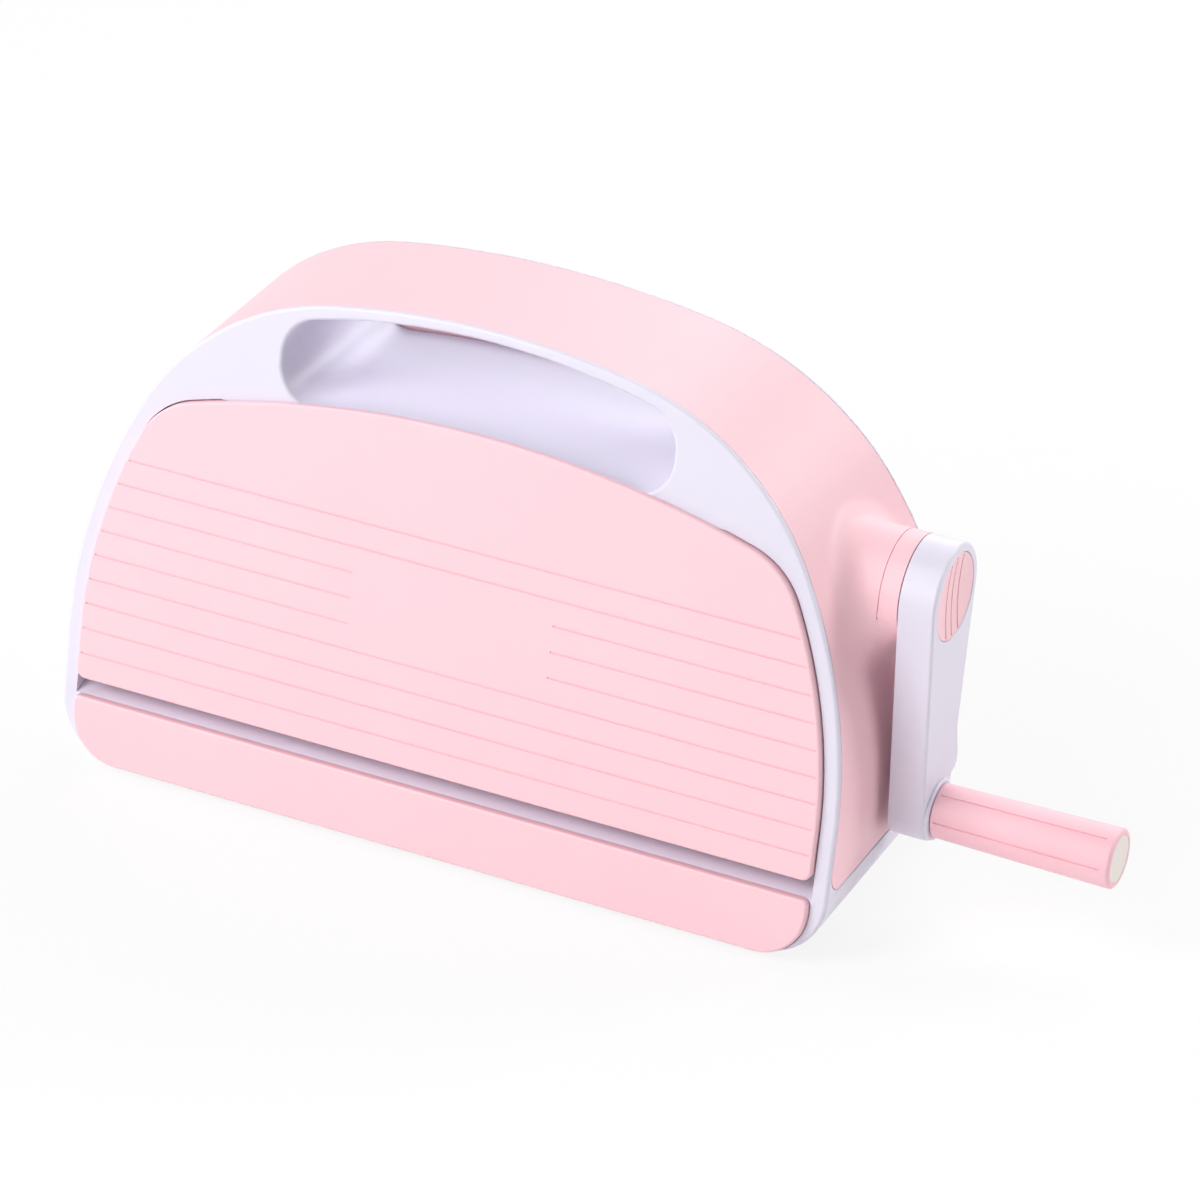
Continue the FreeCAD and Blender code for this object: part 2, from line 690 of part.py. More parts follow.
def make_flap_cover():
    """The flap's outer skin: a lipped tray, ribbed inside, with a solid block round each hinge pin."""
    front = -FLAP_PROUD
    cover = prism(flap_wire(0, front), FLAP_PROUD - FLAP_LIP_GAP)
    rim = edges_where(cover, lambda p: abs(p.y - front) < TINY)
    cover = cover.makeFillet(FLAP_EDGE_RADIUS, rim)
    cover = cover.fuse(flap_box(0, front + FLAP_EDGE_RADIUS, FLAP_INNER)).removeSplitter()
    pocket = flap_box(-FLAP_RIM, front + FLAP_SKIN, FLAP_INNER + PAST)

    kept = []
    for index in range(FLAP_RIB_COUNT):
        x = (index - (FLAP_RIB_COUNT - 1) / 2) * FLAP_RIB_PITCH - FLAP_RIB / 2
        kept.append(block(x, x + FLAP_RIB, front, TABLE_DEPTH, FLAP_BOTTOM, FLAP_CREST))
    for index in range(FLAP_CROSS_RIB_COUNT):
        z = FLAP_BOTTOM + (index + 1) * FLAP_CROSS_RIB_PITCH
        kept.append(block(-HALF_WIDTH, HALF_WIDTH, front, TABLE_DEPTH, z, z + FLAP_RIB))
    for sign in (-1, 1):
        inner = FLAP_SIDE - HINGE_BLOCK
        kept.append(side_block(sign, inner, FLAP_SIDE, front, FLAP_INNER, FLAP_BOTTOM, HINGE_BLOCK_TOP))
    cover = cover.cut(pocket.cut(kept))

    cuts = []
    for rise, x0, x1 in groove_spans():
        low = rise - GROOVE_WIDTH / 2
        cuts.append(block(x0, x1, front - PAST, front + GROOVE_DEPTH, low, low + GROOVE_WIDTH))
    cover = on_front(cover.cut(cuts))
    for sign in (-1, 1):
        inner = FLAP_SIDE - PIN_IN_FLAP - PIN_END_GAP
        seat = face_disc(
            MAGNET_RADIUS + TABLE_GAP, FLAP_THICKNESS, sign * MAGNET_X, front + FLAP_SKIN, magnet_rise()
        )
        pin_hole = side_rod(sign, PIN_RADIUS + PIN_CLEARANCE, inner, FAR, PIVOT_Y, PIVOT_Z)
        cover = cover.cut([seat, pin_hole])
    return cover


def make_flap_table():
    """The flat plate that closes the flap and carries the plates when it is down."""
    table = flap_box(-FLAP_RIM - TABLE_GAP, TABLE_DEPTH, FLAP_INNER)
    for sign in (-1, 1):
        inner = FLAP_SIDE - HINGE_BLOCK - TABLE_GAP
        top = HINGE_BLOCK_TOP + TABLE_GAP
        table = table.cut(side_block(sign, inner, FLAP_SIDE, 0, FLAP_THICKNESS, 0, top))
    return on_front(table)


def make_flap_magnets():
    front = FLAP_SKIN - FLAP_PROUD
    thickness = TABLE_DEPTH - front
    discs = [face_disc(MAGNET_RADIUS, thickness, x, front, magnet_rise()) for x in (-MAGNET_X, MAGNET_X)]
    return Part.makeCompound(discs)


def make_catch_plates():
    radius = CATCH_RADIUS - TABLE_GAP
    places = (-MAGNET_X, MAGNET_X)
    discs = [face_disc(radius, CATCH_THICKNESS, x, RECESS_DEPTH, magnet_rise()) for x in places]
    return Part.makeCompound(discs)


def make_hinge_pins():
    inner = FLAP_SIDE - PIN_IN_FLAP
    outer = FLAP_SIDE + FLAP_GAP + PIN_IN_SHELL
    pins = [side_rod(sign, PIN_RADIUS, inner, outer, PIVOT_Y, PIVOT_Z) for sign in (-1, 1)]
    return Part.makeCompound(pins)


def make_front_deck():
    """The fixed feed surface from the hinge trough to the lower roller, on ribs that stand on the tray."""
    half = HALF_WIDTH - CAVITY_INSET - DECK_END_GAP
    riser = rod(TROUGH_RADIUS + DECK_THICKNESS, -half, half, PIVOT_Y, PIVOT_Z)
    riser = riser.common(block(-half, half, -FAR, 0, 0, DECK_Z))
    underside = DECK_Z - DECK_THICKNESS
    roller_edge = math.sqrt(ROLLER_RADIUS ** 2 - (underside - LOWER_ROLLER_Z) ** 2)
    back = -roller_edge - DECK_ROLLER_GAP
    deck = riser.fuse(block(-DECK_HALF_WIDTH, DECK_HALF_WIDTH, PIVOT_Y, back, underside, DECK_Z))
    leg_back = -TIE_ROD_LOW_Y - TIE_ROD_RADIUS - DECK_ROD_GAP
    for index in range(DECK_RIB_COUNT):
        x = (index - (DECK_RIB_COUNT - 1) / 2) * DECK_RIB_PITCH - DECK_RIB / 2
        leg = block(x, x + DECK_RIB, PIVOT_Y, leg_back, TRAY_TOP, underside)
        deck = deck.fuse(leg)
    deck = deck.cut([trough_tool(FAR / 2), ahead_of(CAVITY_DEPTH + TRAY_GAP / 2)])
    return deck.removeSplitter()


def make_base_tray():
    tray = leaning_block(BASE_CORNER_RADIUS + TRAY_GAP, LOW_SETBACK + TRAY_GAP, FOOT_HEIGHT, 0, TRAY_TOP)
    cuts = [post(FOOT_RADIUS + TRAY_GAP, 0, FOOT_HEIGHT + FOOT_SINK, x, y) for x, y in foot_places()]
    for x, y in tray_screw_places() + chassis_screw_places():
        cuts.append(post(SCREW_SHANK_RADIUS + SCREW_PASS_GAP, 0, FAR, x, y))
        cuts.append(post(SCREW_HEAD_RADIUS + SCREW_PASS_GAP, 0, SCREW_SEAT_Z, x, y))
    return tray.cut(cuts)


def foot_places():
    x = HALF_WIDTH - BASE_CORNER_RADIUS - FOOT_INSET
    y = BASE_HALF_DEPTH - FOOT_SETBACK
    return [(0.0, 0.0)] + [(sx * x, sy * y) for sx in (-1, 1) for sy in (-1, 1)]


def tray_screw_places():
    x = HALF_WIDTH - BASE_CORNER_RADIUS - TRAY_SCREW_INSET
    y = BASE_HALF_DEPTH - TRAY_SCREW_SETBACK
    return [(sx * x, sy * y) for sy in (-1, 1) for sx in (-1, 1)]


def chassis_screw_places():
    return [(sx * PLATE_SCREW_X, sy * PLATE_SCREW_Y) for sx in (-1, 1) for sy in (-1, 1)]


def make_feet():
    feet = [post(FOOT_RADIUS, 0, FOOT_HEIGHT + FOOT_SINK, x, y) for x, y in foot_places()]
    return Part.makeCompound(feet)


def upward_screws(places, tip):
    """Low-headed screws that hold the tray from below."""
    screws = []
    for x, y in places:
        head = post(SCREW_HEAD_RADIUS, SCREW_SEAT_Z - LOW_HEAD, SCREW_SEAT_Z, x, y)
        screws.append(head.fuse(post(SCREW_SHANK_RADIUS, SCREW_SEAT_Z, tip, x, y)))
    return Part.makeCompound(screws)


def flank_half_angle(teeth, radius):
    """Half the angle that a tooth covers at a radius, on involute flanks."""
    pitch = MODULE * teeth / 2
    pressure = math.radians(PRESSURE_ANGLE)
    alpha = math.acos(min(1.0, pitch * math.cos(pressure) / radius))
    half = math.pi / (2 * teeth) - BACKLASH / (4 * pitch)
    return half + math.tan(pressure) - pressure - math.tan(alpha) + alpha


def gear(teeth, x0, y, z, phase, bore):
    """A spur gear with one tooth centred at the angle phase, from +Y towards +Z."""
    pitch = MODULE * teeth / 2
    tip = pitch + MODULE
    root = pitch - DEDENDUM * MODULE
    step = 2 * math.pi / teeth
    low = flank_half_angle(teeth, max(root, pitch * math.cos(math.radians(PRESSURE_ANGLE))))
    mid = flank_half_angle(teeth, pitch)
    high = flank_half_angle(teeth, tip)

    def at(radius, angle):
        return V(x0, y + radius * math.cos(angle), z + radius * math.sin(angle))

    edges = []
    for index in range(teeth):
        here = math.radians(phase) + index * step
        after = here + step
        edges.append(Part.Arc(at(root, here - low), at(pitch, here - mid), at(tip, here - high)).toShape())
        edges.append(Part.LineSegment(at(tip, here - high), at(tip, here + high)).toShape())
        edges.append(Part.Arc(at(tip, here + high), at(pitch, here + mid), at(root, here + low)).toShape())
        edges.append(Part.LineSegment(at(root, here + low), at(root, after - low)).toShape())
    blank = Part.Face(Part.Wire(edges)).extrude(V(GEAR_WIDTH, 0, 0))
    return blank.cut(rod(bore, x0 - PAST, x0 + GEAR_WIDTH + PAST, y, z))


def mesh_phases():
    """Phases that set the idler's gaps on the pinion's teeth and the drive gear's gaps on the idler's."""
    pinion = math.degrees(math.atan2(IDLER_Z - CRANK_Z, IDLER_ASIDE))
    idler = pinion + 180 + 180 / IDLER_TEETH
    to_drive = math.degrees(math.atan2(UPPER_ROLLER_Z - IDLER_Z, -IDLER_ASIDE))
    lead = (to_drive - idler) % (360 / IDLER_TEETH)
    drive = to_drive + 180 + 180 / DRIVE_TEETH + lead * IDLER_TEETH / DRIVE_TEETH
    return pinion, idler, drive


def make_drive_gear(phase):
    """The large gear on the upper roller, dished and lightened between hub and rim."""
    wheel = gear(DRIVE_TEETH, GEAR_X, 0, UPPER_ROLLER_Z, phase, JOURNAL_RADIUS + RUNNING_CLEARANCE)
    rim = MODULE * DRIVE_TEETH / 2 - GEAR_RIM
    dish = rod(rim, GEAR_END_X - GEAR_DISH, GEAR_END_X + PAST, 0, UPPER_ROLLER_Z)
    cuts = [dish.cut(rod(GEAR_HUB_RADIUS, GEAR_X, FAR, 0, UPPER_ROLLER_Z))]
    ring = (0.0, UPPER_ROLLER_Z)
    for index in range(GEAR_HOLE_COUNT):
        y, z = polar(ring, (rim + GEAR_HUB_RADIUS) / 2, 360 * index / GEAR_HOLE_COUNT)
        cuts.append(rod(GEAR_HOLE_RADIUS, GEAR_X - PAST, GEAR_END_X + PAST, y, z))
    return wheel.cut(cuts)


def make_roller(z, right_end):
    roller = rod(ROLLER_RADIUS, -ROLLER_HALF_LENGTH, ROLLER_HALF_LENGTH, 0, z)
    return roller.fuse(rod(JOURNAL_RADIUS, -GEAR_END_X - SHAFT_TAIL, right_end, 0, z)).removeSplitter()


def clip(radius, x0, y, z):
    """A retaining ring on a shaft."""
    ring = rod(radius + CLIP_WALL, x0, x0 + CLIP_THICKNESS, y, z)
    return ring.cut(rod(radius + CLIP_FIT, x0 - PAST, x0 + CLIP_THICKNESS + PAST, y, z))


def make_side_plate(sign):
    """A pressed steel cheek with a foot flange turned inwards."""
    head = (0.0, CRANK_Z)
    foot = PLATE_FOOT_HALF_DEPTH
    reach = math.hypot(foot, CRANK_Z - TRAY_TOP)
    lean = math.degrees(math.atan2(foot, CRANK_Z - TRAY_TOP))
    touch = polar(head, PLATE_HEAD_RADIUS, math.degrees(math.acos(PLATE_HEAD_RADIUS / reach)) + lean - 90)
    outline = symmetric_wire((foot, TRAY_TOP), [(touch, None)], head, side_lift(PLATE_INNER_X))
    plate = Part.Face(outline).extrude(V(PLATE_THICKNESS, 0, 0))
    inner = PLATE_INNER_X - PLATE_FLANGE
    plate = plate.fuse(block(inner, PLATE_OUTER_X, -foot, foot, TRAY_TOP, TRAY_TOP + PLATE_THICKNESS))

    bearings = [LOWER_ROLLER_Z, UPPER_ROLLER_Z] + ([CRANK_Z] if sign > 0 else [])
    tools = [rod(BUSH_RADIUS, inner, FAR, 0, z) for z in bearings]
    for y, z in tie_rod_places():
        tools.append(rod(SCREW_SHANK_RADIUS + SCREW_PASS_GAP, inner, FAR, y, z))
    for y in (-PLATE_SCREW_Y, PLATE_SCREW_Y):
        top = TRAY_TOP + PLATE_THICKNESS + PAST
        tools.append(post(SCREW_SHANK_RADIUS + SCREW_HOLE_GAP, 0, top, PLATE_SCREW_X, y))
    if sign > 0:
        tools.append(rod(AXLE_RADIUS, inner, FAR, IDLER_ASIDE, IDLER_Z))
    plate = plate.cut(tools).removeSplitter()
    return plate if sign > 0 else plate.mirror(V(0, 0, 0), X_AXIS)


def tie_rod_places():
    low = [(side * TIE_ROD_LOW_Y, TIE_ROD_LOW_Z) for side in (-1, 1)]
    return low + [(side * TIE_ROD_HIGH_Y, TIE_ROD_HIGH_Z) for side in (-1, 1)]


def make_tie_rods():
    rods = []
    for y, z in tie_rod_places():
        bar = rod(TIE_ROD_RADIUS, -PLATE_INNER_X, PLATE_INNER_X, y, z)
        inner = PLATE_INNER_X - SCREW_REACH - PAST
        hole = SCREW_SHANK_RADIUS + SCREW_HOLE_GAP
        rods.append(bar.cut([side_rod(sign, hole, inner, FAR, y, z) for sign in (-1, 1)]))
    return Part.makeCompound(rods)


def make_tie_rod_screws():
    screws = []
    for y, z in tie_rod_places():
        for sign in (-1, 1):
            head = side_rod(sign, SCREW_HEAD_RADIUS, PLATE_OUTER_X, PLATE_OUTER_X + SCREW_HEAD, y, z)
            shank = side_rod(sign, SCREW_SHANK_RADIUS, PLATE_INNER_X - SCREW_REACH, PLATE_OUTER_X, y, z)
            screws.append(head.fuse(shank))
    return Part.makeCompound(screws)


def bush(z, sign):
    """A flanged bush pushed into a side plate from inside."""
    body = rod(BUSH_RADIUS - PRESS_GAP, PLATE_INNER_X, PLATE_OUTER_X + BUSH_PROUD, 0, z)
    flange = rod(BUSH_FLANGE_RADIUS, PLATE_INNER_X - BUSH_FLANGE, PLATE_INNER_X, 0, z)
    whole = body.fuse(flange).cut(rod(JOURNAL_RADIUS + RUNNING_CLEARANCE, 0, FAR, 0, z))
    return whole if sign > 0 else whole.mirror(V(0, 0, 0), X_AXIS)


def make_roller_bushes():
    places = [(z, sign) for z in (LOWER_ROLLER_Z, UPPER_ROLLER_Z) for sign in (-1, 1)]
    return Part.makeCompound([bush(z, sign) for z, sign in places])


def make_outer_bush():
    sleeve = rod(OUTER_BUSH_RADIUS, skin_x(CAVITY_INSET, CRANK_Z), BOSS_END_X, 0, CRANK_Z)
    return sleeve.cut(rod(SHAFT_RADIUS + RUNNING_CLEARANCE, 0, FAR, 0, CRANK_Z))


def turned(shape):
    """Turns a crank piece from straight down to its rest position."""
    placed = shape.copy()
    placed.rotate(V(0, 0, CRANK_Z), X_AXIS, CRANK_REST_TURN)
    return placed


def make_crank_shaft():
    shaft = rod(SHAFT_RADIUS, PLATE_INNER_X - SHAFT_TAIL_INSIDE, SEAT_X, 0, CRANK_Z)
    hole = CRANK_SCREW_RADIUS + SCREW_HOLE_GAP
    return shaft.cut(rod(hole, SEAT_X - CRANK_SCREW_HOLE_DEPTH, FAR, 0, CRANK_Z))


def make_crank_arm():
    """The tapered arm, with a seat for the cap at its head and a collar round the grip."""
    head = (0.0, CRANK_Z)
    tip = (0.0, GRIP_Z)
    tilt = math.degrees(math.asin((ARM_HEAD_RADIUS - ARM_TIP_RADIUS) / CRANK_LENGTH))
    low = polar(tip, ARM_TIP_RADIUS, -tilt)
    high = polar(head, ARM_HEAD_RADIUS, -tilt)
    path = [
        (high, None),
        ((0.0, CRANK_Z + ARM_HEAD_RADIUS), head),
        (mirrored(high), head),
        (mirrored(low), None),
        ((0.0, GRIP_Z - ARM_TIP_RADIUS), tip),
        (low, tip),
    ]
    arm = Part.Face(wire(low, path, side_lift(ARM_INNER_X))).extrude(V(ARM_THICKNESS, 0, 0))
    arm = arm.makeFillet(ARM_EDGE_RADIUS, edges_where(arm, lambda p: abs(p.x - ARM_FACE_X) < TINY))
    collar_x = ARM_FACE_X + COLLAR_HEIGHT
    collar = rod(COLLAR_RADIUS, ARM_INNER_X, collar_x, 0, GRIP_Z)
    rim = edges_where(collar, lambda p: abs(p.x - collar_x) < TINY)
    collar = collar.makeFillet(COLLAR_EDGE_RADIUS, rim)
    arm = arm.fuse(collar).removeSplitter()
    return arm.cut([
        rod(SHAFT_RADIUS + PRESS_GAP, 0, FAR, 0, CRANK_Z),
        rod(CRANK_SCREW_HEAD_RADIUS + SCREW_PASS_GAP, SEAT_X, FAR, 0, CRANK_Z),
        rod(CAP_RADIUS + CAP_GAP, ARM_FACE_X - CAP_THICKNESS, FAR, 0, CRANK_Z),
        rod(SPINDLE_RADIUS + PRESS_GAP, ARM_INNER_X + ARM_SOCKET_FLOOR, FAR, 0, GRIP_Z),
    ])


def make_crank_screw():
    """The socket head screw that draws the arm onto the shaft."""
    head = rod(CRANK_SCREW_HEAD_RADIUS, SEAT_X, SEAT_X + CRANK_SCREW_HEAD, 0, CRANK_Z)
    socket_x = SEAT_X + CRANK_SCREW_HEAD / 2
    corners = [polar((0.0, CRANK_Z), CRANK_SCREW_SOCKET, 60 * index) for index in range(7)]
    socket = Part.Face(Part.makePolygon([V(socket_x, y, z) for y, z in corners]))
    head = head.cut(socket.extrude(V(CRANK_SCREW_HEAD, 0, 0)))
    return head.fuse(rod(CRANK_SCREW_RADIUS, SEAT_X - CRANK_SCREW_LENGTH, SEAT_X, 0, CRANK_Z))


def make_crank_cap():
    """A dished cap with grooves along the arm."""
    back = ARM_FACE_X - CAP_THICKNESS
    face = ARM_FACE_X - CAP_SUNK
    cap = rod(CAP_RADIUS, back, face, 0, CRANK_Z)
    dish_radius = (CAP_RADIUS ** 2 + CAP_DISH ** 2) / (2 * CAP_DISH)
    centre = V(face - CAP_DISH + dish_radius, 0, CRANK_Z)
    cap = cap.cut(Part.makeSphere(dish_radius, centre))
    groove_floor = Part.makeSphere(dish_radius + CAP_GROOVE_DEPTH, centre)
    for index in range(CAP_GROOVE_COUNT):
        y = (index - (CAP_GROOVE_COUNT - 1) / 2) * CAP_GROOVE_PITCH
        reach = math.sqrt((CAP_RADIUS - CAP_GROOVE_MARGIN) ** 2 - y ** 2)
        half = CAP_GROOVE_WIDTH / 2
        bar = block(back, ARM_FACE_X, y - half, y + half, CRANK_Z - reach, CRANK_Z + reach)
        cap = cap.cut(bar.common(groove_floor))
    return cap


def make_spindle():
    spindle = rod(SPINDLE_RADIUS, ARM_INNER_X + ARM_SOCKET_FLOOR, SPINDLE_END_X, 0, GRIP_Z)
    head = rod(SPINDLE_HEAD_RADIUS, SPINDLE_END_X - SPINDLE_HEAD, SPINDLE_END_X, 0, GRIP_Z)
    return spindle.fuse(head).removeSplitter()


def make_grip_sleeve():
    """The turning grip: a slightly tapered sleeve with shallow grooves along it."""
    round_x = GRIP_END_X - GRIP_END_ROUND
    round_z = GRIP_Z + GRIP_END_RADIUS - GRIP_END_ROUND
    profile = [
        ((round_x, GRIP_Z + GRIP_END_RADIUS), None),
        ((GRIP_END_X, round_z), (round_x, round_z)),
        ((GRIP_END_X, GRIP_Z), None),
        ((GRIP_X, GRIP_Z), None),
        ((GRIP_X, GRIP_Z + GRIP_ROOT_RADIUS), None),
    ]
    outline = wire((GRIP_X, GRIP_Z + GRIP_ROOT_RADIUS), profile, front_lift(0))
    sleeve = Part.Face(outline).revolve(V(0, 0, GRIP_Z), X_AXIS, 360)

    slope = (GRIP_END_RADIUS - GRIP_ROOT_RADIUS) / (round_x - GRIP_X)
    ends = (GRIP_X + GRIP_GROOVE_START, GRIP_END_X - GRIP_GROOVE_STOP)
    floor = [(x, GRIP_Z + GRIP_ROOT_RADIUS + slope * (x - GRIP_X) - GRIP_GROOVE_DEPTH) for x in ends]
    corners = floor + [(x, z + 2 * PAST) for x, z in reversed(floor)]
    points = [V(x, -GRIP_GROOVE_WIDTH / 2, z) for x, z in corners]
    bar = Part.Face(Part.makePolygon(points + points[:1])).extrude(V(0, GRIP_GROOVE_WIDTH, 0))
    tools = []
    for index in range(GRIP_GROOVES):
        tool = bar.copy()
        tool.rotate(V(0, 0, GRIP_Z), X_AXIS, 360 * (index + 0.5) / GRIP_GROOVES)
        tools.append(tool)

    head_x = SPINDLE_END_X - SPINDLE_HEAD - SPINDLE_HEAD_GAP
    plug_x = GRIP_END_X - PLUG_SUNK - PLUG_THICKNESS
    tools.append(rod(SPINDLE_RADIUS + RUNNING_CLEARANCE, 0, FAR, 0, GRIP_Z))
    tools.append(rod(SPINDLE_HEAD_RADIUS + SPINDLE_HEAD_GAP, head_x, FAR, 0, GRIP_Z))
    tools.append(rod(PLUG_RADIUS + CAP_GAP, plug_x, FAR, 0, GRIP_Z))
    return sleeve.cut(tools)


def make_grip_plug():
    face = GRIP_END_X - PLUG_SUNK
    plug = rod(PLUG_RADIUS, face - PLUG_THICKNESS, face, 0, GRIP_Z)
    return plug.makeFillet(PLUG_EDGE_RADIUS, edges_where(plug, lambda p: abs(p.x - face) < TINY))


def housing():
    """The moulded housing, its fixed panels and what closes it from below."""
    front_shell = make_front_shell()
    lower_panel = make_lower_panel()
    deck = make_front_deck()
    catch_plates = make_catch_plates()
    hinge_pins = make_hinge_pins()
    return {
        "front_shell": front_shell,
        "rear_shell": to_rear(front_shell),
        "arch_band": make_arch_band(),
        "front_lower_panel": lower_panel,
        "rear_lower_panel": to_rear(lower_panel),
        "front_deck": deck,
        "rear_deck": to_rear(deck),
        "front_catch_plates": catch_plates,
        "rear_catch_plates": to_rear(catch_plates),
        "front_hinge_pins": hinge_pins,
        "rear_hinge_pins": to_rear(hinge_pins),
        "base_tray": make_base_tray(),
        "rubber_feet": make_feet(),
        "base_screws": upward_screws(tray_screw_places(), TROUGH_FRONT - TROUGH_WALL - 2 * PAST),
        "chassis_screws": upward_screws(chassis_screw_places(), TRAY_TOP + PLATE_THICKNESS),
    }


def flaps():
    """Both feed flaps, closed."""
    cover = make_flap_cover()
    table = make_flap_table()
    magnets = make_flap_magnets()
    return {
        "front_flap_cover": cover,
        "front_flap_table": table,
        "front_flap_magnets": magnets,
        "rear_flap_cover": to_rear(cover),
        "rear_flap_table": to_rear(table),
        "rear_flap_magnets": to_rear(magnets),
    }


def chassis():
    """The steel side plates, what ties them together and their bearings."""
    axle_end = GEAR_END_X + SHAFT_TAIL
    return {
        "left_side_plate": make_side_plate(-1),
        "right_side_plate": make_side_plate(1),
        "tie_rods": make_tie_rods(),
        "tie_rod_screws": make_tie_rod_screws(),
        "roller_bushes": make_roller_bushes(),
        "crank_inner_bush": bush(CRANK_Z, 1),
        "crank_outer_bush": make_outer_bush(),
        "idler_axle": rod(AXLE_RADIUS - PRESS_GAP, PLATE_INNER_X, axle_end, IDLER_ASIDE, IDLER_Z),
        "idler_clip": clip(AXLE_RADIUS, CLIP_X, IDLER_ASIDE, IDLER_Z),
    }


def gear_train():
    """The rollers and the gears that drive them, with the teeth in mesh."""
    pinion_phase, idler_phase, drive_phase = mesh_phases()
    journal = JOURNAL_RADIUS + PRESS_GAP
    axle = AXLE_RADIUS + RUNNING_CLEARANCE
    left_x = -GEAR_END_X
    left_clip_x = -CLIP_X - CLIP_THICKNESS
    lower_phase = 90 + 180 / SYNC_TEETH
    return {
        "upper_roller": make_roller(UPPER_ROLLER_Z, GEAR_END_X + SHAFT_TAIL),
        "lower_roller": make_roller(LOWER_ROLLER_Z, PLATE_OUTER_X + SHAFT_TAIL),
        "drive_gear": make_drive_gear(drive_phase),
        "upper_sync_gear": gear(SYNC_TEETH, left_x, 0, UPPER_ROLLER_Z, -90, journal),
        "lower_sync_gear": gear(SYNC_TEETH, left_x, 0, LOWER_ROLLER_Z, lower_phase, journal),
        "upper_roller_clips": Part.makeCompound([
            clip(JOURNAL_RADIUS, CLIP_X, 0, UPPER_ROLLER_Z),
            clip(JOURNAL_RADIUS, left_clip_x, 0, UPPER_ROLLER_Z),
        ]),
        "lower_roller_clip": clip(JOURNAL_RADIUS, left_clip_x, 0, LOWER_ROLLER_Z),
        "idler_gear": gear(IDLER_TEETH, GEAR_X, IDLER_ASIDE, IDLER_Z, idler_phase, axle),
        "crank_pinion": gear(PINION_TEETH, GEAR_X, 0, CRANK_Z, pinion_phase, SHAFT_RADIUS + PRESS_GAP),
    }


def crank():
    """The crank with its turning grip, at rest."""
    clip_x = PLATE_INNER_X - BUSH_FLANGE - CLIP_GAP - CLIP_THICKNESS
    return {
        "crank_shaft": make_crank_shaft(),
        "crank_shaft_clip": clip(SHAFT_RADIUS, clip_x, 0, CRANK_Z),
        "crank_arm": turned(make_crank_arm()),
        "crank_screw": turned(make_crank_screw()),
        "crank_cap": turned(make_crank_cap()),
        "grip_spindle": turned(make_spindle()),
        "grip_sleeve": turned(make_grip_sleeve()),
        "grip_end_plug": turned(make_grip_plug()),
    }


def main():
    os.makedirs("parts", exist_ok=True)
    for group in (housing(), flaps(), chassis(), gear_train(), crank()):
        for name, shape in group.items():
            shape.exportStep("parts/" + name + ".step")


main()
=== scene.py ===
import math

import bmesh
import bpy
from mathutils import Matrix, Vector


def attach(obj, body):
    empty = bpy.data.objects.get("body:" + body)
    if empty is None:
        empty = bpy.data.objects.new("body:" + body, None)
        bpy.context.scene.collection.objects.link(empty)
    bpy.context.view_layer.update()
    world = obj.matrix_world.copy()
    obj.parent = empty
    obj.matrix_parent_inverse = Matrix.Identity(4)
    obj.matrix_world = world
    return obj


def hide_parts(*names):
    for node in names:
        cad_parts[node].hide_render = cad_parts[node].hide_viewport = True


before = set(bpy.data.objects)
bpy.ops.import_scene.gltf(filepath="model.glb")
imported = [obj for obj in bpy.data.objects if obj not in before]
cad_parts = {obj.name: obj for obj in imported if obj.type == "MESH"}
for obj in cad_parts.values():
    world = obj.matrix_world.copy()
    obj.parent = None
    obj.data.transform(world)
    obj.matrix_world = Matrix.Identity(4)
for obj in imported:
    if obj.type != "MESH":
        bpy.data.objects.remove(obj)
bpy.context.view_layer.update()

# Shapes are drawn in millimetres and made metres when they become pieces.
MM = 0.001
FRONT = Vector((0, -1, 0))
ACROSS = Vector((1, 0, 0))

# How finely shapes are drawn, and how near counts as the same
ARC_ERROR = 0.02
LATHE_STEPS = 96
SAME_PLACE = 0.001
MIRROR_SNAP = 0.0001
SLICE_SNAP = 0.00001
NODE_SNAP = 0.002
FLAT_WITHIN = math.radians(0.05)
SAME_WAY = 0.999

# Edges that turn by more degrees than these stay sharp
SHARP = 40
MOULDED_SHARP = 30

# The housing seen from the front and from the side
LEAN = math.radians(10)
BASE_HALF_DEPTH = 70.0
HALF_WIDTH = 168.0
SIDE_STRAIGHT_TOP = 56.0
SIDE_RADIUS = 208.0
MOULDED_EDGE = 1.2
MOULDED_EDGE_STEPS = 5

# Flaps
FLAP_PROUD = 3.0
FLAP_THICKNESS = 10.0
FLAP_SKIN = 2.5
FLAP_RIM = 3.0
FLAP_RIM_SLACK = 0.01
FLAP_LIP = 2.7
FLAP_BOX_TOP = 166.2
FLAP_SIDE = 161.1
FLAP_BOTTOM = 36.6
FLAP_CREST = 179.7
FLAP_CREST_RADIUS = 441.0
FLAP_SHOULDER_RADIUS = 32.0
FLAP_CORNER = 4.0
TABLE_THICKNESS = 2.5
HINGE_BLOCK = 11.0
HINGE_BLOCK_TOP = 46.8
RIB = 1.6
RIBS_UP = 5
RIB_PITCH = 52.0
RIBS_ACROSS = 2
CROSS_RIB_PITCH = 46.0

# Grooves across a flap; the split ones leave a bare field in the middle
GROOVE_COUNT = 9
GROOVE_PITCH = 10.68
GROOVE_TOP = 133.0
GROOVE_WIDTH = 0.8
GROOVE_DEPTH = 0.5
GROOVE_MARGIN = 1.6
SPLIT_GROOVES = (2, 3, 4)
BARE_HALF_WIDTH = 43.4

# Fixed panels under the flaps
PANEL_THICKNESS = 4.0
PANEL_TOP = 28.8
PANEL_BOTTOM = 2.4
PANEL_CORNER = 20.0
PANEL_TOP_CORNER = 2.5

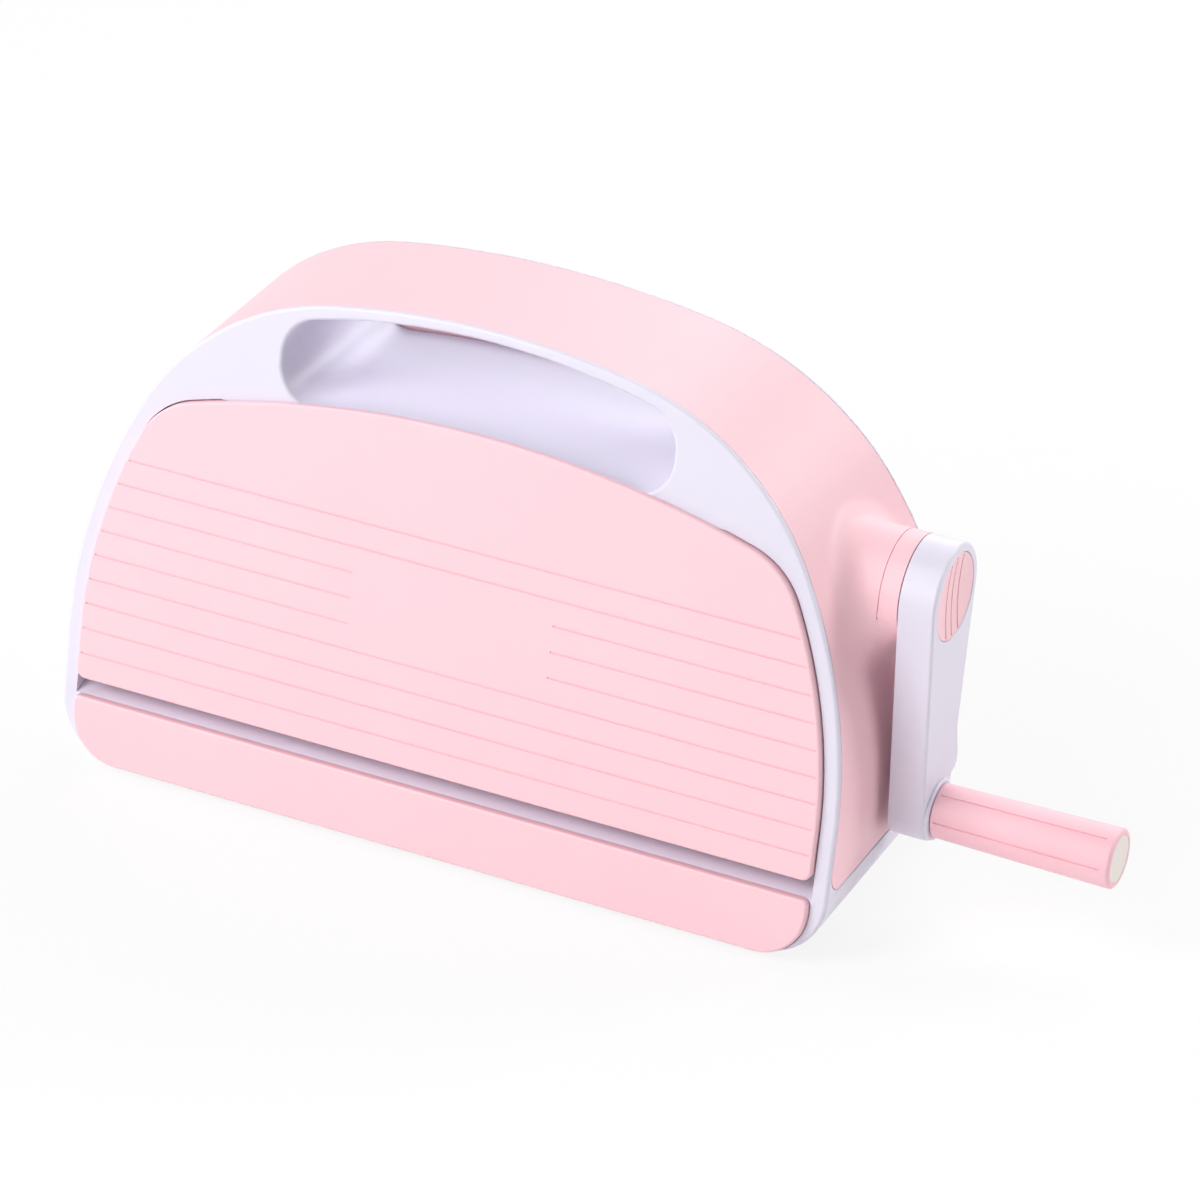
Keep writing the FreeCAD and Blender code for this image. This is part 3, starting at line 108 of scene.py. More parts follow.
# The mould line round the crank boss: where the plain model's floor of it lies, and its depth here
BOSS_RADIUS = 21.5
SEAM_X = 164.25
SEAM_HALF_WIDTH = 0.5
SEAM_FLOOR_INNER = BOSS_RADIUS - 1
SEAM_FLOOR_OUTER = BOSS_RADIUS - 0.2
SEAM_DEPTH = 0.08

# Crank arm, and the collar at its tip
CRANK_Z = 136.295
CRANK_TURN = math.radians(-3.5)
CRANK_LENGTH = 92.0
ARM_X = 172.5
ARM_THICKNESS = 14.7
ARM_HEAD = 21.5
ARM_TIP = 13.0
COLLAR_RADIUS = 12.4
COLLAR_HEIGHT = 1.5
COLLAR_ROOT = 3.0
COLLAR_EDGE = 0.75

# Cap in the arm's head
CAP_RADIUS = 17.7
CAP_GAP = 0.15
CAP_THICKNESS = 3.0
CAP_SUNK = 0.2
CAP_EDGE = 0.3
CAP_DISH = 1.4
CAP_DISH_SLOPE = 0.9
CAP_BACK_MARGIN = 1.0
CAP_GROOVES = (-1, 0, 1)
CAP_GROOVE_PITCH = 5.7
CAP_GROOVE_WIDTH = 1.1
CAP_GROOVE_DEPTH = 0.5
CAP_GROOVE_MARGIN = 1.0
SEAT_EDGE = 0.25

# Grip, and the insert in its end
GRIP_X = 188.9
GRIP_LENGTH = 74.6
GRIP_ROOT = 10.9
GRIP_ROOT_EDGE = 0.4
GRIP_END = 12.1
GRIP_END_EDGE = 1.5
GRIP_STEPS = 90
GRIP_TAPER_LIMIT = 0.1
GRIP_GROOVES = 6
GRIP_GROOVE_START = 1.7
GRIP_GROOVE_STOP = 3.9
GRIP_GROOVE_DEPTH = 0.5
GRIP_GROOVE_HALF_TURN = math.radians(1.5)
SPINDLE_RADIUS = 4.05
SPINDLE_HEAD_RADIUS = 6.8
SPINDLE_HEAD_DEPTH = 7.3
SOCKET_DEPTH = 3.3
SOCKET_GAP = 0.05
SOCKET_EDGE = 0.1
PLUG_RADIUS = 9.6
PLUG_THICKNESS = 3.0
PLUG_SUNK = 0.1
PLUG_EDGE = 0.2

# Studio, in metres and watts. Every lamp looks at the middle of the housing.
WHITE = (1.0, 1.0, 1.0, 1.0)
FLOOR_HALF_WIDTH = 6.0
FLOOR_WHITENESS = 0.84
ROOM_LIGHT = 0.05
LAMP_AIM = Vector((0, 0, 0.1))
LAMPS = {
    "key_left": ((-1.2, -1.5, 1.5), 1.0, 27),
    "key_high": ((-0.7, -0.9, 2.0), 0.8, 10),
    "key_front": ((-0.3, -2.1, 1.0), 1.0, 15),
    "side_left": ((-2.2, 0.3, 1.0), 1.0, 10),
    "side_right": ((2.2, 0.2, 0.8), 1.0, 9),
    "top_back": ((0.2, 1.3, 1.6), 1.0, 10),
    "back": ((-0.3, 2.2, 0.9), 1.0, 8),
    "back_right": ((1.4, 1.5, 1.2), 0.8, 22),
}
CAMERA_PLACE = (0.90848, -1.88381, 1.28554)
CAMERA_RIGHT = Vector((0.90001, 0.43482, 0.03013))
CAMERA_UP = Vector((-0.24029, 0.43731, 0.86662))
CAMERA_LENS = 182.84
SENSOR_WIDTH = 36.0
NEAREST = 0.05
FARTHEST = 50.0


# Drawing


def turn_steps(radius, angle):
    """How many straight runs keep an arc within its allowed error."""
    widest = 2 * math.acos(1 - min(0.5, ARC_ERROR / radius))
    return max(2, math.ceil(abs(angle) / widest))


class Outline:
    """An outline in the XZ plane, drawn by drawing out and spinning one vertex."""

    def __init__(self, bm, x, z):
        self.bm = bm
        self.tip = bmesh.ops.create_vert(bm, co=(x, 0, z))["vert"][0]

    def line(self, x, z):
        """Draws the tip out to a point."""
        drawn = bmesh.ops.extrude_vert_indiv(self.bm, verts=[self.tip])
        self.tip = drawn["verts"][0]
        bmesh.ops.translate(self.bm, verts=[self.tip], vec=Vector((x, 0, z)) - self.tip.co)
        return self

    def arc(self, centre, x, z, clockwise=False):
        """Spins the tip round a centre to the direction of a point."""
        begin = math.atan2(self.tip.co.z - centre[1], self.tip.co.x - centre[0])
        angle = (math.atan2(z - centre[1], x - centre[0]) - begin) % (2 * math.pi)
        if clockwise:
            angle -= 2 * math.pi
        radius = math.hypot(self.tip.co.x - centre[0], self.tip.co.z - centre[1])
        turned = bmesh.ops.spin(
            self.bm, geom=[self.tip], cent=(centre[0], 0, centre[1]), axis=(0, -1, 0),
            angle=angle, steps=turn_steps(radius, angle), use_merge=False,
        )
        self.tip = only(bmesh.types.BMVert, turned["geom_last"])[0]
        return self


def only(kind, items):
    """The vertices, edges or faces among what an operator made."""
    return [item for item in items if isinstance(item, kind)]


def each_once(items):
    """Items without repeats, in the order met, which a set would not keep from run to run."""
    return list(dict.fromkeys(items))


def touching_arc(c1, r1, c2, r2, radius):
    """Centre and touch points of an arc that rounds the corner inside two crossing circles."""
    d1 = r1 - radius
    d2 = r2 - radius
    gap = math.hypot(c2[0] - c1[0], c2[1] - c1[1])
    along = (d1 * d1 - d2 * d2 + gap * gap) / (2 * gap)
    across = math.sqrt(d1 * d1 - along * along)
    ux = (c2[0] - c1[0]) / gap
    uy = (c2[1] - c1[1]) / gap
    centre = max(
        (c1[0] + ux * along - hand * uy * across, c1[1] + uy * along + hand * ux * across)
        for hand in (1, -1)
    )
    touch1 = (c1[0] + (centre[0] - c1[0]) * r1 / d1, c1[1] + (centre[1] - c1[1]) * r1 / d1)
    touch2 = (c2[0] + (centre[0] - c2[0]) * r2 / d2, c2[1] + (centre[1] - c2[1]) * r2 / d2)
    return centre, touch1, touch2


def fill_mirrored(bm):
    """Mirrors a right-hand half outline and fills it with one face."""
    bmesh.ops.mirror(bm, geom=bm.verts[:] + bm.edges[:], axis="X", merge_dist=MIRROR_SNAP)
    bmesh.ops.remove_doubles(bm, verts=bm.verts[:], dist=SAME_PLACE)
    return bmesh.ops.contextual_create(bm, geom=bm.edges[:])["faces"]


def thicken(bm, faces, along):
    """Draws a filled outline out into a closed solid."""
    drawn = bmesh.ops.extrude_face_region(bm, geom=faces, use_keep_orig=True)
    bmesh.ops.translate(bm, verts=only(bmesh.types.BMVert, drawn["geom"]), vec=along)
    bmesh.ops.recalc_face_normals(bm, faces=bm.faces[:])


def lathe(bm, steps=LATHE_STEPS):
    """Spins a profile drawn in the XZ plane round the X axis into a closed form."""
    bmesh.ops.spin(
        bm, geom=bm.verts[:] + bm.edges[:], cent=(0, 0, 0), axis=(1, 0, 0),
        angle=2 * math.pi, steps=steps, use_merge=True,
    )
    bmesh.ops.remove_doubles(bm, verts=bm.verts[:], dist=SAME_PLACE)
    bmesh.ops.recalc_face_normals(bm, faces=bm.faces[:])


def faces_towards(bm, direction, test=lambda face: True):
    """Flat faces that look one way and pass a test."""
    bm.normal_update()
    return [face for face in bm.faces if face.normal.dot(direction) > SAME_WAY and test(face)]


def rim_of(faces):
    """Edges that lie between the given faces and the rest."""
    inside = set(faces)
    return [
        edge for face in faces for edge in face.edges
        if len(inside.intersection(edge.link_faces)) == 1
    ]


def round_edges(bm, edges):
    """Rounds edges as the mould does."""
    bmesh.ops.bevel(
        bm, geom=each_once(edges), offset=MOULDED_EDGE, offset_type="OFFSET",
        segments=MOULDED_EDGE_STEPS, profile=0.5, affect="EDGES", material=-1, clamp_overlap=True,
    )


def sink(bm, faces, along):
    """Pushes faces inwards and returns the moved faces."""
    rims = each_once(edge for face in faces for edge in face.edges)
    pushed = bmesh.ops.extrude_face_region(bm, geom=faces + rims)["geom"]
    bmesh.ops.translate(bm, verts=only(bmesh.types.BMVert, pushed), vec=along)
    return only(bmesh.types.BMFace, pushed)


def slice_at(bm, faces, point, normal):
    """Cuts faces along a plane, and keeps both sides."""
    edges = each_once(edge for face in faces for edge in face.edges)
    verts = each_once(vert for face in faces for vert in face.verts)
    bmesh.ops.bisect_plane(
        bm, geom=faces + edges + verts, dist=SLICE_SNAP, plane_co=point, plane_no=normal,
    )


def draw_rim(bm, edges, depth, size=1.0):
    """Draws a round open rim back, to a share of its size, and returns the new rim."""
    drawn = bmesh.ops.extrude_edge_only(bm, edges=edges)["geom"]
    moved = only(bmesh.types.BMVert, drawn)
    bmesh.ops.translate(bm, verts=moved, vec=(0, depth, 0))
    bmesh.ops.scale(bm, verts=moved, vec=(size, 1, size))
    return [edge for edge in only(bmesh.types.BMEdge, drawn) if set(moved).issuperset(edge.verts)]


def join(bm, other):
    """Adds another mesh's form to this one."""
    mesh = bpy.data.meshes.new("joined")
    other.to_mesh(mesh)
    other.free()
    bm.from_mesh(mesh)
    bpy.data.meshes.remove(mesh)


def lean_on_front(bm):
    """Lays a shape drawn upright on the housing's leaning front."""
    lean = Matrix.Rotation(-LEAN, 3, "X")
    bmesh.ops.rotate(bm, verts=bm.verts[:], cent=(0, 0, 0), matrix=lean)
    bmesh.ops.translate(bm, verts=bm.verts[:], vec=(0, -BASE_HALF_DEPTH, 0))


def turn_to_rear(bm):
    """Mirrors a front piece to the back of the machine."""
    bmesh.ops.scale(bm, verts=bm.verts[:], vec=(1, -1, 1))
    bmesh.ops.reverse_faces(bm, faces=bm.faces[:])


def lay_on_side(bm, x):
    """Turns a shape drawn in the XZ plane so that its front faces out of the right side."""
    aside = Matrix.Rotation(math.pi / 2, 3, "Z")
    bmesh.ops.rotate(bm, verts=bm.verts[:], cent=(0, 0, 0), matrix=aside)
    bmesh.ops.translate(bm, verts=bm.verts[:], vec=(x, 0, 0))


def raise_by(bm, z):
    """Moves a shape up, or down by less than nothing."""
    bmesh.ops.translate(bm, verts=bm.verts[:], vec=(0, 0, z))


def turn_with_crank(bm):
    """Turns a shape drawn on a hanging crank to where the crank rests."""
    turn = Matrix.Rotation(CRANK_TURN, 3, "X")
    bmesh.ops.rotate(bm, verts=bm.verts[:], cent=(0, 0, CRANK_Z), matrix=turn)


def moulded_copy(node):
    """A node's own form with its doubled corners merged, so that it can be shaded smoothly."""
    bm = bmesh.new()
    bm.from_mesh(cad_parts[node].data)
    bmesh.ops.remove_doubles(bm, verts=bm.verts[:], dist=NODE_SNAP * MM)
    bmesh.ops.scale(bm, verts=bm.verts[:], vec=(1 / MM, 1 / MM, 1 / MM))
    bmesh.ops.dissolve_limit(
        bm, angle_limit=FLAT_WITHIN, verts=bm.verts[:], edges=bm.edges[:],
        use_dissolve_boundaries=False,
    )
    return bm


def piece(name, bm, body, slot, finish, *nodes, sharp=SHARP):
    """Makes a finished mesh a piece that rides on a body in place of its plain nodes."""
    bmesh.ops.scale(bm, verts=bm.verts[:], vec=(MM, MM, MM))
    mesh = bpy.data.meshes.new(name)
    bm.to_mesh(mesh)
    bm.free()
    mesh.shade_smooth()
    mesh.set_sharp_from_angle(angle=math.radians(sharp))
    made = bpy.data.objects.new(name, mesh)
    bpy.context.scene.collection.objects.link(made)
    mesh.materials.append(finish)
    weighted = made.modifiers.new("even_normals", "WEIGHTED_NORMAL")
    weighted.keep_sharp = True
    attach(made, body)
    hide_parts(*nodes)
    return made


# Finishes

# A colour Mix node's sockets share their names, so they go by number.
MIX_FACTOR = 0
MIX_FIRST = 6
MIX_SECOND = 7
MIX_RESULT = 2


class Signal:
    """A number, colour, vector or shader on its way through the nodes."""

    def __init__(self, nodes, socket):
        self.nodes = nodes
        self.socket = socket

    def _math(self, operation, other):
        settings = {"operation": operation}
        return self.nodes.node("ShaderNodeMath", settings, {0: self, 1: other})

    def __add__(self, other):
        return self._math("ADD", other)

    __radd__ = __add__

    def __mul__(self, other):
        return self._math("MULTIPLY", other)

    __rmul__ = __mul__


class Nodes:
    """The nodes of a material or a world. Each is added by node()."""

    def __init__(self, owner):
        owner.use_nodes = True
        self.owner = owner
        self.tree = owner.node_tree
        self.tree.nodes.clear()

    def node(self, kind, settings, inputs, output=0):
        """Adds a node: its settings first, then the value or link of each input."""
        made = self.tree.nodes.new(kind)
        for name, value in settings.items():
            setattr(made, name, value)
        for key, value in inputs.items():
            if isinstance(value, Signal):
                self.tree.links.new(value.socket, made.inputs[key])
            else:
                made.inputs[key].default_value = value
        return Signal(self, made.outputs[output]) if made.outputs else made

    def in_view(self):
        """1 for what the camera sees, plainly or in gloss or glass, and 0 for light on its way."""
        plainly = self.node("ShaderNodeLightPath", {}, {}, "Is Camera Ray")
        in_gloss = self.node("ShaderNodeLightPath", {}, {}, "Is Glossy Ray")
        in_glass = self.node("ShaderNodeLightPath", {}, {}, "Is Transmission Ray")
        settings = {"operation": "ADD", "use_clamp": True}
        return self.node("ShaderNodeMath", settings, {0: plainly, 1: in_gloss + in_glass})

    def mix(self, factor, first, second):
        """Mixes two shaders."""
        return self.node("ShaderNodeMixShader", {}, {0: factor, 1: first, 2: second})


class Finish(Nodes):
    """One procedural material, whose patterns lie on object coordinates."""

    def __init__(self, name):
        super().__init__(bpy.data.materials.new(name))
        self.place = self.node("ShaderNodeTexCoord", {}, {}, "Object")

    def grain(self, scale, detail, stretch=None):
        """Noise of a size, drawn out along an axis where stretch says so."""
        where = self.place
        if stretch:
            where = self.node("ShaderNodeMapping", {}, {"Vector": where, "Scale": stretch})
        settings = {"noise_dimensions": "3D"}
        inputs = {"Vector": where, "Scale": scale, "Detail": detail}
        return self.node("ShaderNodeTexNoise", settings, inputs)

    def blend(self, factor, first, second):
        """Goes from one colour to another as a pattern does."""
        inputs = {MIX_FACTOR: factor, MIX_FIRST: first, MIX_SECOND: second}
        return self.node("ShaderNodeMix", {"data_type": "RGBA"}, inputs, MIX_RESULT)

    def bump(self, height, strength, depth, under=None):
        """Relief of a depth in metres, laid over another one where under names it."""
        inputs = {"Height": height, "Strength": strength, "Distance": depth}
        if under:
            inputs["Normal"] = under
        return self.node("ShaderNodeBump", {}, inputs)

    def surface(self, **inputs):
        """Ends the material with a principled surface, its sockets named with low lines."""
        named = {name.replace("_", " "): value for name, value in inputs.items()}
        return self.close(self.node("ShaderNodeBsdfPrincipled", {}, named))

    def close(self, shader):
        """Ends the material with a shader, and returns it."""
        self.node("ShaderNodeOutputMaterial", {}, {"Surface": shader})
        return self.owner


def colour(red, green, blue):
    """A colour as it is seen on a screen, made linear by the sRGB curve."""
    def linear(value):
        part = value / 255
        return part / 12.92 if part <= 0.04045 else ((part + 0.055) / 1.055) ** 2.4

    return (linear(red), linear(green), linear(blue), 1.0)


def moulded_plastic(name, light, dark, roughness):
    """Satin moulded plastic: faint clouds of flow, a fine eroded grain, long waves in its gloss."""
    finish = Finish(name)
    clouds = finish.grain(scale=14.0, detail=3.0)
    grain = finish.grain(scale=2600.0, detail=2.0)
    waves = finish.grain(scale=9.0, detail=1.0)
    eroded = finish.bump(grain, strength=0.12, depth=0.00003)
    return finish.surface(
        Base_Color=finish.blend(clouds, light, dark),
        Roughness=roughness + 0.07 * clouds + 0.03 * grain,
        Normal=finish.bump(waves, strength=0.05, depth=0.0006, under=eroded),
        Specular_IOR_Level=0.45,
    )


def rolled_metal(name, light, dark, roughness, stretch, depth):
    """Metal with fine lines left by rolling or grinding."""
    finish = Finish(name)
    lines = finish.grain(scale=260.0, detail=4.0, stretch=stretch)
    clouds = finish.grain(scale=30.0, detail=2.0)
    return finish.surface(
        Base_Color=finish.blend(lines, light, dark),
        Metallic=1.0,
        Roughness=roughness + 0.12 * lines + 0.06 * clouds,
        Normal=finish.bump(lines, strength=0.25, depth=depth),
    )


def grained_solid(name, light, dark, roughness, size, depth):
    """A dull solid with an even fine grain, for rubber, sintered bronze and gear plastic."""
    finish = Finish(name)
    grain = finish.grain(scale=size, detail=3.0)
    clouds = finish.grain(scale=60.0, detail=2.0)
    return finish.surface(
        Base_Color=finish.blend(clouds, light, dark),
        Roughness=roughness + 0.1 * grain,
        Normal=finish.bump(grain, strength=0.3, depth=depth),
    )


LAVENDER = moulded_plastic(
    "lavender_moulding", colour(229, 225, 239), colour(225, 221, 236), roughness=0.3,
)
PINK = moulded_plastic(
    "blush_pink_moulding", colour(252, 208, 216), colour(250, 203, 212), roughness=0.4,
)
GRIP_PINK = moulded_plastic(
    "grip_pink_moulding", colour(250, 201, 211), colour(248, 196, 206), roughness=0.42,
)
CREAM = moulded_plastic(
    "cream_insert", colour(238, 229, 222), colour(232, 222, 214), roughness=0.42,
)

# Finishes of the nodes whose own shape stays, by the start of their plain material's name
NODE_FINISHES = {
    "lavender_shell": LAVENDER,
    "pink_trim": PINK,
    "grip_pink": GRIP_PINK,
    "cream_plug": CREAM,
    "tray_plastic": moulded_plastic(
        "lavender_tray", colour(222, 218, 236), colour(216, 211, 231), roughness=0.5,
    ),
    "plate_steel": rolled_metal(
        "zinc_plated_steel", colour(206, 208, 212), colour(182, 185, 190),
        roughness=0.34, stretch=(1, 9, 1), depth=0.00001,
    ),
    "ground_steel": rolled_metal(
        "ground_steel", colour(222, 223, 226), colour(205, 207, 211),
        roughness=0.18, stretch=(30, 0.6, 0.6), depth=0.000006,
    ),
    "gear_plastic": grained_solid(
        "natural_gear_plastic", colour(238, 236, 228), colour(230, 227, 218),
        roughness=0.42, size=1800.0, depth=0.00002,
    ),
    "bush_bronze": grained_solid(
        "sintered_bronze", colour(196, 156, 98), colour(172, 132, 80),
        roughness=0.36, size=2200.0, depth=0.00003,
    ),
    "rubber": grained_solid(
        "dark_grey_rubber", colour(58, 56, 60), colour(48, 46, 50),
        roughness=0.72, size=1500.0, depth=0.00006,
    ),
}


# Housing


def flap_cover(name, body, node, rear=False):
    """A flap's outer shell: grooved and round-edged outside, a shallow tray inside."""
    bm = bmesh.new()
    side_radius = SIDE_RADIUS / math.cos(LEAN) ** 2 - (HALF_WIDTH - FLAP_SIDE)
    side = (FLAP_SIDE - side_radius, SIDE_STRAIGHT_TOP / math.cos(LEAN))
    crest = (0.0, FLAP_CREST - FLAP_CREST_RADIUS)
    shoulder, low, high = touching_arc(
        side, side_radius, crest, FLAP_CREST_RADIUS, FLAP_SHOULDER_RADIUS,
    )
    inner = FLAP_SIDE - FLAP_CORNER
    outline = Outline(bm, 0, FLAP_BOTTOM).line(inner, FLAP_BOTTOM)
    outline.arc((inner, FLAP_BOTTOM + FLAP_CORNER), FLAP_SIDE, FLAP_BOTTOM + FLAP_CORNER)
    outline.line(FLAP_SIDE, side[1]).arc(side, *low).arc(shoulder, *high).arc(crest, 0, FLAP_CREST)
    faces = fill_mirrored(bm)
    bmesh.ops.translate(bm, verts=bm.verts[:], vec=(0, -FLAP_PROUD, 0))
    thicken(bm, faces, (0, FLAP_LIP, 0))
    slice_at(bm, faces_towards(bm, -FRONT), (0, 0, FLAP_BOX_TOP), (0, 0, 1))
    deep = faces_towards(bm, -FRONT, lambda face: face.calc_center_median().z < FLAP_BOX_TOP)
    deep = sink(bm, deep, (0, FLAP_THICKNESS - FLAP_LIP, 0))
    bmesh.ops.inset_region(bm, faces=deep, thickness=FLAP_RIM, use_even_offset=True)
    hollow_between_ribs(bm)
    bmesh.ops.recalc_face_normals(bm, faces=bm.faces[:])
    round_edges(bm, rim_of(faces_towards(bm, FRONT, at_front)))

    for index in range(GROOVE_COUNT):
        for offset in (-GROOVE_WIDTH / 2, GROOVE_WIDTH / 2):
            rise = GROOVE_TOP - index * GROOVE_PITCH + offset
            slice_at(bm, faces_towards(bm, FRONT, at_front), (0, 0, rise), (0, 0, 1))
    for index in range(GROOVE_COUNT):
        cut_groove(bm, index, side, side_radius)
    lean_on_front(bm)
    if rear:
        turn_to_rear(bm)
    return piece(name, bm, body, "pink_trim", PINK, node)


def at_front(face):
    """Whether a face lies in the flap's front, before it leans."""
    return abs(face.calc_center_median().y + FLAP_PROUD) < SAME_PLACE


def is_rim(face):
    """Whether a face is part of the narrow rim round the flap's inside."""
    return face.calc_area() / face.calc_perimeter() < FLAP_RIM / 2 + FLAP_RIM_SLACK


def hollow_between_ribs(bm):
    """Sinks a flap's inside to its ribs, then between them to its skin. Hinge blocks stay."""
    rim_y = FLAP_THICKNESS - FLAP_PROUD
    rib_y = rim_y - TABLE_THICKNESS
    block_x = FLAP_SIDE - HINGE_BLOCK

    def within(y):
        def inside_rim(face):
            place = face.calc_center_median()
            clear = abs(place.x) < FLAP_SIDE - FLAP_RIM and place.z > FLAP_BOTTOM + FLAP_RIM
            return clear and abs(place.y - y) < SAME_PLACE

        return inside_rim

    def in_block(face):
        place = face.calc_center_median()
        return abs(place.x) > block_x and place.z < HINGE_BLOCK_TOP

    for x in (block_x, -block_x):
        slice_at(bm, faces_towards(bm, -FRONT, within(rim_y)), (x, 0, 0), ACROSS)
    slice_at(bm, faces_towards(bm, -FRONT, within(rim_y)), (0, 0, HINGE_BLOCK_TOP), (0, 0, 1))
    floor = faces_towards(bm, -FRONT, within(rim_y))
    floor = [face for face in floor if not in_block(face) and not is_rim(face)]
    sink(bm, floor, (0, -TABLE_THICKNESS, 0))

    ups = [(index - (RIBS_UP - 1) / 2) * RIB_PITCH for index in range(RIBS_UP)]
    acrosses = [
        FLAP_BOTTOM + (index + 1) * CROSS_RIB_PITCH + RIB / 2 for index in range(RIBS_ACROSS)
    ]
    for side in (-RIB / 2, RIB / 2):
        for x in ups:
            slice_at(bm, faces_towards(bm, -FRONT, within(rib_y)), (x + side, 0, 0), ACROSS)
        for z in acrosses:
            slice_at(bm, faces_towards(bm, -FRONT, within(rib_y)), (0, 0, z + side), (0, 0, 1))

    def in_cell(face):
        place = face.calc_center_median()
        beside_ups = all(abs(place.x - x) > RIB / 2 for x in ups)
        beside_acrosses = all(abs(place.z - z) > RIB / 2 for z in acrosses)
        return within(rib_y)(face) and beside_ups and beside_acrosses

    sink(bm, faces_towards(bm, -FRONT, in_cell), (0, FLAP_SKIN - FLAP_PROUD - rib_y, 0))


def cut_groove(bm, index, side, side_radius):
    """Sinks one groove, in two runs where it stops short of the bare field."""
    rise = GROOVE_TOP - index * GROOVE_PITCH
    above = max(0.0, rise - side[1])
    reach = side[0] + math.sqrt(side_radius ** 2 - above ** 2) - GROOVE_MARGIN
    bare = BARE_HALF_WIDTH if index in SPLIT_GROOVES else 0.0

    def in_strip(face):
        return at_front(face) and abs(face.calc_center_median().z - rise) < GROOVE_WIDTH / 2

    def in_groove(face):
        return in_strip(face) and bare < abs(face.calc_center_median().x) < reach

    ends = [reach, -reach] + ([bare, -bare] if bare else [0.0])
    for x in ends:
        slice_at(bm, faces_towards(bm, FRONT, in_strip), (x, 0, 0), ACROSS)
    sink(bm, faces_towards(bm, FRONT, in_groove), (0, GROOVE_DEPTH, 0))


def lower_panel(name, node, rear=False):
    """The fixed panel under a flap, with large round corners at its foot."""
    bm = bmesh.new()
    low_x = FLAP_SIDE - PANEL_CORNER
    low_z = PANEL_BOTTOM + PANEL_CORNER
    high_x = FLAP_SIDE - PANEL_TOP_CORNER
    high_z = PANEL_TOP - PANEL_TOP_CORNER
    outline = Outline(bm, 0, PANEL_BOTTOM).line(low_x, PANEL_BOTTOM)
    outline.arc((low_x, low_z), FLAP_SIDE, low_z).line(FLAP_SIDE, high_z)
    outline.arc((high_x, high_z), high_x, PANEL_TOP).line(0, PANEL_TOP)
    faces = fill_mirrored(bm)
    bmesh.ops.translate(bm, verts=bm.verts[:], vec=(0, -FLAP_PROUD, 0))
    thicken(bm, faces, (0, PANEL_THICKNESS, 0))
    round_edges(bm, rim_of(faces_towards(bm, FRONT)))
    lean_on_front(bm)
    if rear:
        turn_to_rear(bm)
    return piece(name, bm, "machine", "pink_trim", PINK, node)


def moulded_shell(node):
    """One half of the housing, in its own form."""
    bm = moulded_copy(node)
    return piece(
        "moulded_" + node, bm, "machine", "lavender_shell", LAVENDER, node, sharp=MOULDED_SHARP,
    )


def arch_band():
    """The inlaid band, with the mould line round its boss drawn finer than the plain model's."""
    bm = moulded_copy("arch_band")
    raise_by(bm, -CRANK_Z)
    for vert in bm.verts:
        reach = vert.co.yz.length
        in_seam = abs(vert.co.x - SEAM_X) < SEAM_HALF_WIDTH
        if in_seam and SEAM_FLOOR_INNER < reach < SEAM_FLOOR_OUTER:
            rim = max(edge.other_vert(vert).co.yz.length for edge in vert.link_edges)
            grow = (rim - SEAM_DEPTH) / reach
            bmesh.ops.scale(bm, verts=[vert], vec=(1, grow, grow))
    raise_by(bm, CRANK_Z)
    return piece(
        "inlaid_arch_band", bm, "machine", "pink_trim", PINK, "arch_band", sharp=MOULDED_SHARP,
    )


# Crank


def crank_arm():
    """The tapered arm: a round seat for the cap at its head, a low collar at its tip."""
    bm = bmesh.new()
    slope = math.asin((ARM_HEAD - ARM_TIP) / CRANK_LENGTH)
    side = (math.cos(slope), -math.sin(slope))
    outline = Outline(bm, 0, -CRANK_LENGTH - ARM_TIP)
    outline.arc((0.0, -CRANK_LENGTH), side[0] * ARM_TIP, side[1] * ARM_TIP - CRANK_LENGTH)
    outline.line(side[0] * ARM_HEAD, side[1] * ARM_HEAD).arc((0.0, 0.0), 0, ARM_HEAD)
    thicken(bm, fill_mirrored(bm), (0, ARM_THICKNESS, 0))
    round_edges(bm, rim_of(faces_towards(bm, FRONT)))

    face = faces_towards(bm, FRONT)
    outer = rim_of(face)
    bmesh.ops.delete(bm, geom=face, context="FACES_ONLY")
    mouth = CAP_RADIUS + CAP_GAP + SEAT_EDGE
    seat = bmesh.ops.create_circle(bm, cap_ends=False, segments=LATHE_STEPS, radius=mouth)["verts"]
    upright = Matrix.Rotation(math.pi / 2, 3, "X")
    bmesh.ops.rotate(bm, verts=seat, cent=(0, 0, 0), matrix=upright)
    rim = each_once(edge for vert in seat for edge in vert.link_edges)
    bmesh.ops.triangle_fill(bm, use_beauty=True, edges=outer + rim, normal=FRONT)
    rim = draw_rim(bm, rim, SEAT_EDGE, 1 - SEAT_EDGE / mouth)
    bmesh.ops.contextual_create(bm, geom=draw_rim(bm, rim, CAP_THICKNESS - SEAT_EDGE))
    bmesh.ops.recalc_face_normals(bm, faces=bm.faces[:])
    lay_on_side(bm, ARM_X + ARM_THICKNESS)

    join(bm, tip_collar())
    raise_by(bm, CRANK_Z)
    turn_with_crank(bm)
    return piece("tapered_crank_arm", bm, "crank", "lavender_shell", LAVENDER, "crank_arm")


def tip_collar():
    """The low collar on the arm's face, round the root of the grip."""
    bm = bmesh.new()
    face = ARM_X + ARM_THICKNESS
    root = face - COLLAR_ROOT
    top = face + COLLAR_HEIGHT
    inner = COLLAR_RADIUS - COLLAR_EDGE
    outline = Outline(bm, root, 0).line(root, COLLAR_RADIUS).line(top - COLLAR_EDGE, COLLAR_RADIUS)
    outline.arc((top - COLLAR_EDGE, inner), top, inner, clockwise=True).line(top, 0)
    lathe(bm)
    raise_by(bm, -CRANK_LENGTH)
    return bm


